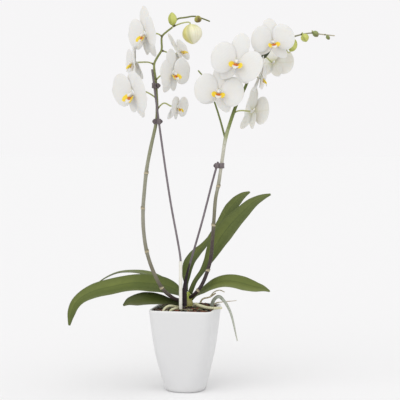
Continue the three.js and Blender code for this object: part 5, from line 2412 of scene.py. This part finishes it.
@dataclass
class Studio:
    """The plain pale floor, the soft lights and the camera."""

    camera: Triple = (0.026, -2.0, 0.452)
    target: Triple = (0.026, 0.0, 0.344)
    lens: float = 100.0
    sensor: float = 36.0
    floor_size: float = 60.0
    pale: tuple[float, float, float, float] = (0.858, 0.854, 0.858, 1.0)
    sky: float = 0.75
    # name, direction of the light, strength and spread in degrees
    lamps: tuple[tuple[str, Triple, float, float], ...] = (
        ("key", (0.45, 0.75, -0.85), 1.05, 70), ("fill", (-0.7, 0.2, -0.7), 0.45, 80),
    )
    backdrop: tuple[float, float, float, float] = (0.925, 0.918, 0.925, 1.0)

    def place_camera(self) -> None:
        """Sets up the camera at the photograph's viewing angle."""
        data = bpy.data.cameras.new("camera")
        data.lens, data.sensor_width = self.lens, self.sensor
        data.clip_end = 200
        made = link("camera", data)
        made.location = self.camera
        view = Vector(self.target) - Vector(self.camera)
        made.rotation_mode = "QUATERNION"
        made.rotation_quaternion = view.to_track_quat("-Z", "Y")
        bpy.context.scene.camera = made

    def lay_floor(self) -> None:
        """Lays the floor that the pot stands on."""
        half = self.floor_size / 2
        mesh = bpy.data.meshes.new("floor")
        corners = [(-half, -half, 0), (half, -half, 0), (half, half, 0), (-half, half, 0)]
        mesh.from_pydata(corners, [], [(0, 1, 2, 3)])
        made = link("floor", mesh)
        paper = bpy.data.materials.new("Studio floor")
        paper.use_nodes = True
        shader = paper.node_tree.nodes["Principled BSDF"]
        shader.inputs["Base Color"].default_value = self.pale
        shader.inputs["Roughness"].default_value = 1.0
        shader.inputs["Specular IOR Level"].default_value = 0.0
        mesh.materials.append(paper)

    def hang_lights(self) -> None:
        """Hangs two broad soft lamps and sets an even bright sky."""
        for name, direction, power, spread in self.lamps:
            data = bpy.data.lights.new(name, "SUN")
            data.energy, data.angle = power, radians(spread)
            made = link(name, data)
            made.rotation_mode = "QUATERNION"
            made.rotation_quaternion = Vector(direction).to_track_quat("-Z", "Y")
        world = bpy.data.worlds.new("studio")
        bpy.context.scene.world = world
        world.use_nodes = True
        graph = Graph(world.node_tree)
        world.node_tree.nodes.clear()
        seen = graph.add("ShaderNodeLightPath", {}).outputs["Is Camera Ray"]
        lit = graph.add("ShaderNodeBackground", {0: (1, 1, 1, 1), 1: self.sky})
        shown = graph.add("ShaderNodeBackground", {0: self.backdrop, 1: 1.0})
        both = graph.add("ShaderNodeMixShader", {0: seen, 1: lit.outputs[0], 2: shown.outputs[0]})
        graph.add("ShaderNodeOutputWorld", {0: both.outputs[0]})
        bpy.context.scene.view_settings.view_transform = "Standard"

    def build(self) -> None:
        """Sets up the studio."""
        self.place_camera()
        self.lay_floor()
        self.hang_lights()


def plant() -> list[Part]:
    """Lists the parts of the potted orchid.

    Returns:
        The parts, in the order in which they are built.
    """
    pot = Pot()
    finish_of = {
        "leaf_low_left": Finishes.LEAF_DARK, "leaf_front_left": Finishes.LEAF,
        "leaf_back_left": Finishes.LEAF, "leaf_right": Finishes.LEAF_RIGHT,
    }
    leaves = [
        Leaf(name, stops, finish_of.get(name, Finishes.LEAF_TALL))
        for name, stops in LEAVES.items()
    ]
    # the dark sheath stands in for the shade beside the right rod; its node in the frame is named
    # dry_sheath
    sheath_stops = [[-2.6, -26.9, 154, 12, -90], [-2, -26.9, 170, 10, -90],
                    [-1.2, -26.9, 190, 8, -90], [1.3, -26.5, 206, 5.5, -90],
                    [5.2, -25.4, 223, 3.4, -90], [7.6, -24.8, 233, 1.6, -90]]
    sheath = Leaf("dry_sheath", sheath_stops, Finishes.SHEATH, "sheath", 1.2, along=14, across=8)
    flowers, closed = blooms(), buds()
    stalks = [
        Stalks(plan, [item.stalk() for item in [*flowers, *closed] if item.spike is plan])
        for plan in (LEFT_SPIKE, RIGHT_SPIKE)
    ]
    return [
        pot, Bark(pot), Crown(), *leaves, sheath, Sleeve(),
        Rod("rod_left", ROD_STOPS["rod_left"], Finishes.ROD),
        Rod("rod_right", ROD_STOPS["rod_right"], Finishes.ROD_DARK),
        Clip("clip_left_upper", 549, LEFT_SPIKE, "rod_left", (6.5,)),
        Clip("clip_left_lower", 485, LEFT_SPIKE, "rod_left", (-6, 6)),
        Clip("clip_right", 406, RIGHT_SPIKE, "rod_right", (-7,)),
        Spike(LEFT_SPIKE, Finishes.STEM_LEFT), Spike(RIGHT_SPIKE, Finishes.STEM_RIGHT),
        *stalks, *flowers, *closed, *roots(),
    ]


def main() -> None:
    """Builds the studio and the plant in order."""
    logging.basicConfig(level=logging.INFO, format="%(name)s %(message)s")
    Studio().build()
    for part in plant():
        part.build()


if __name__ == "__main__":
    main()
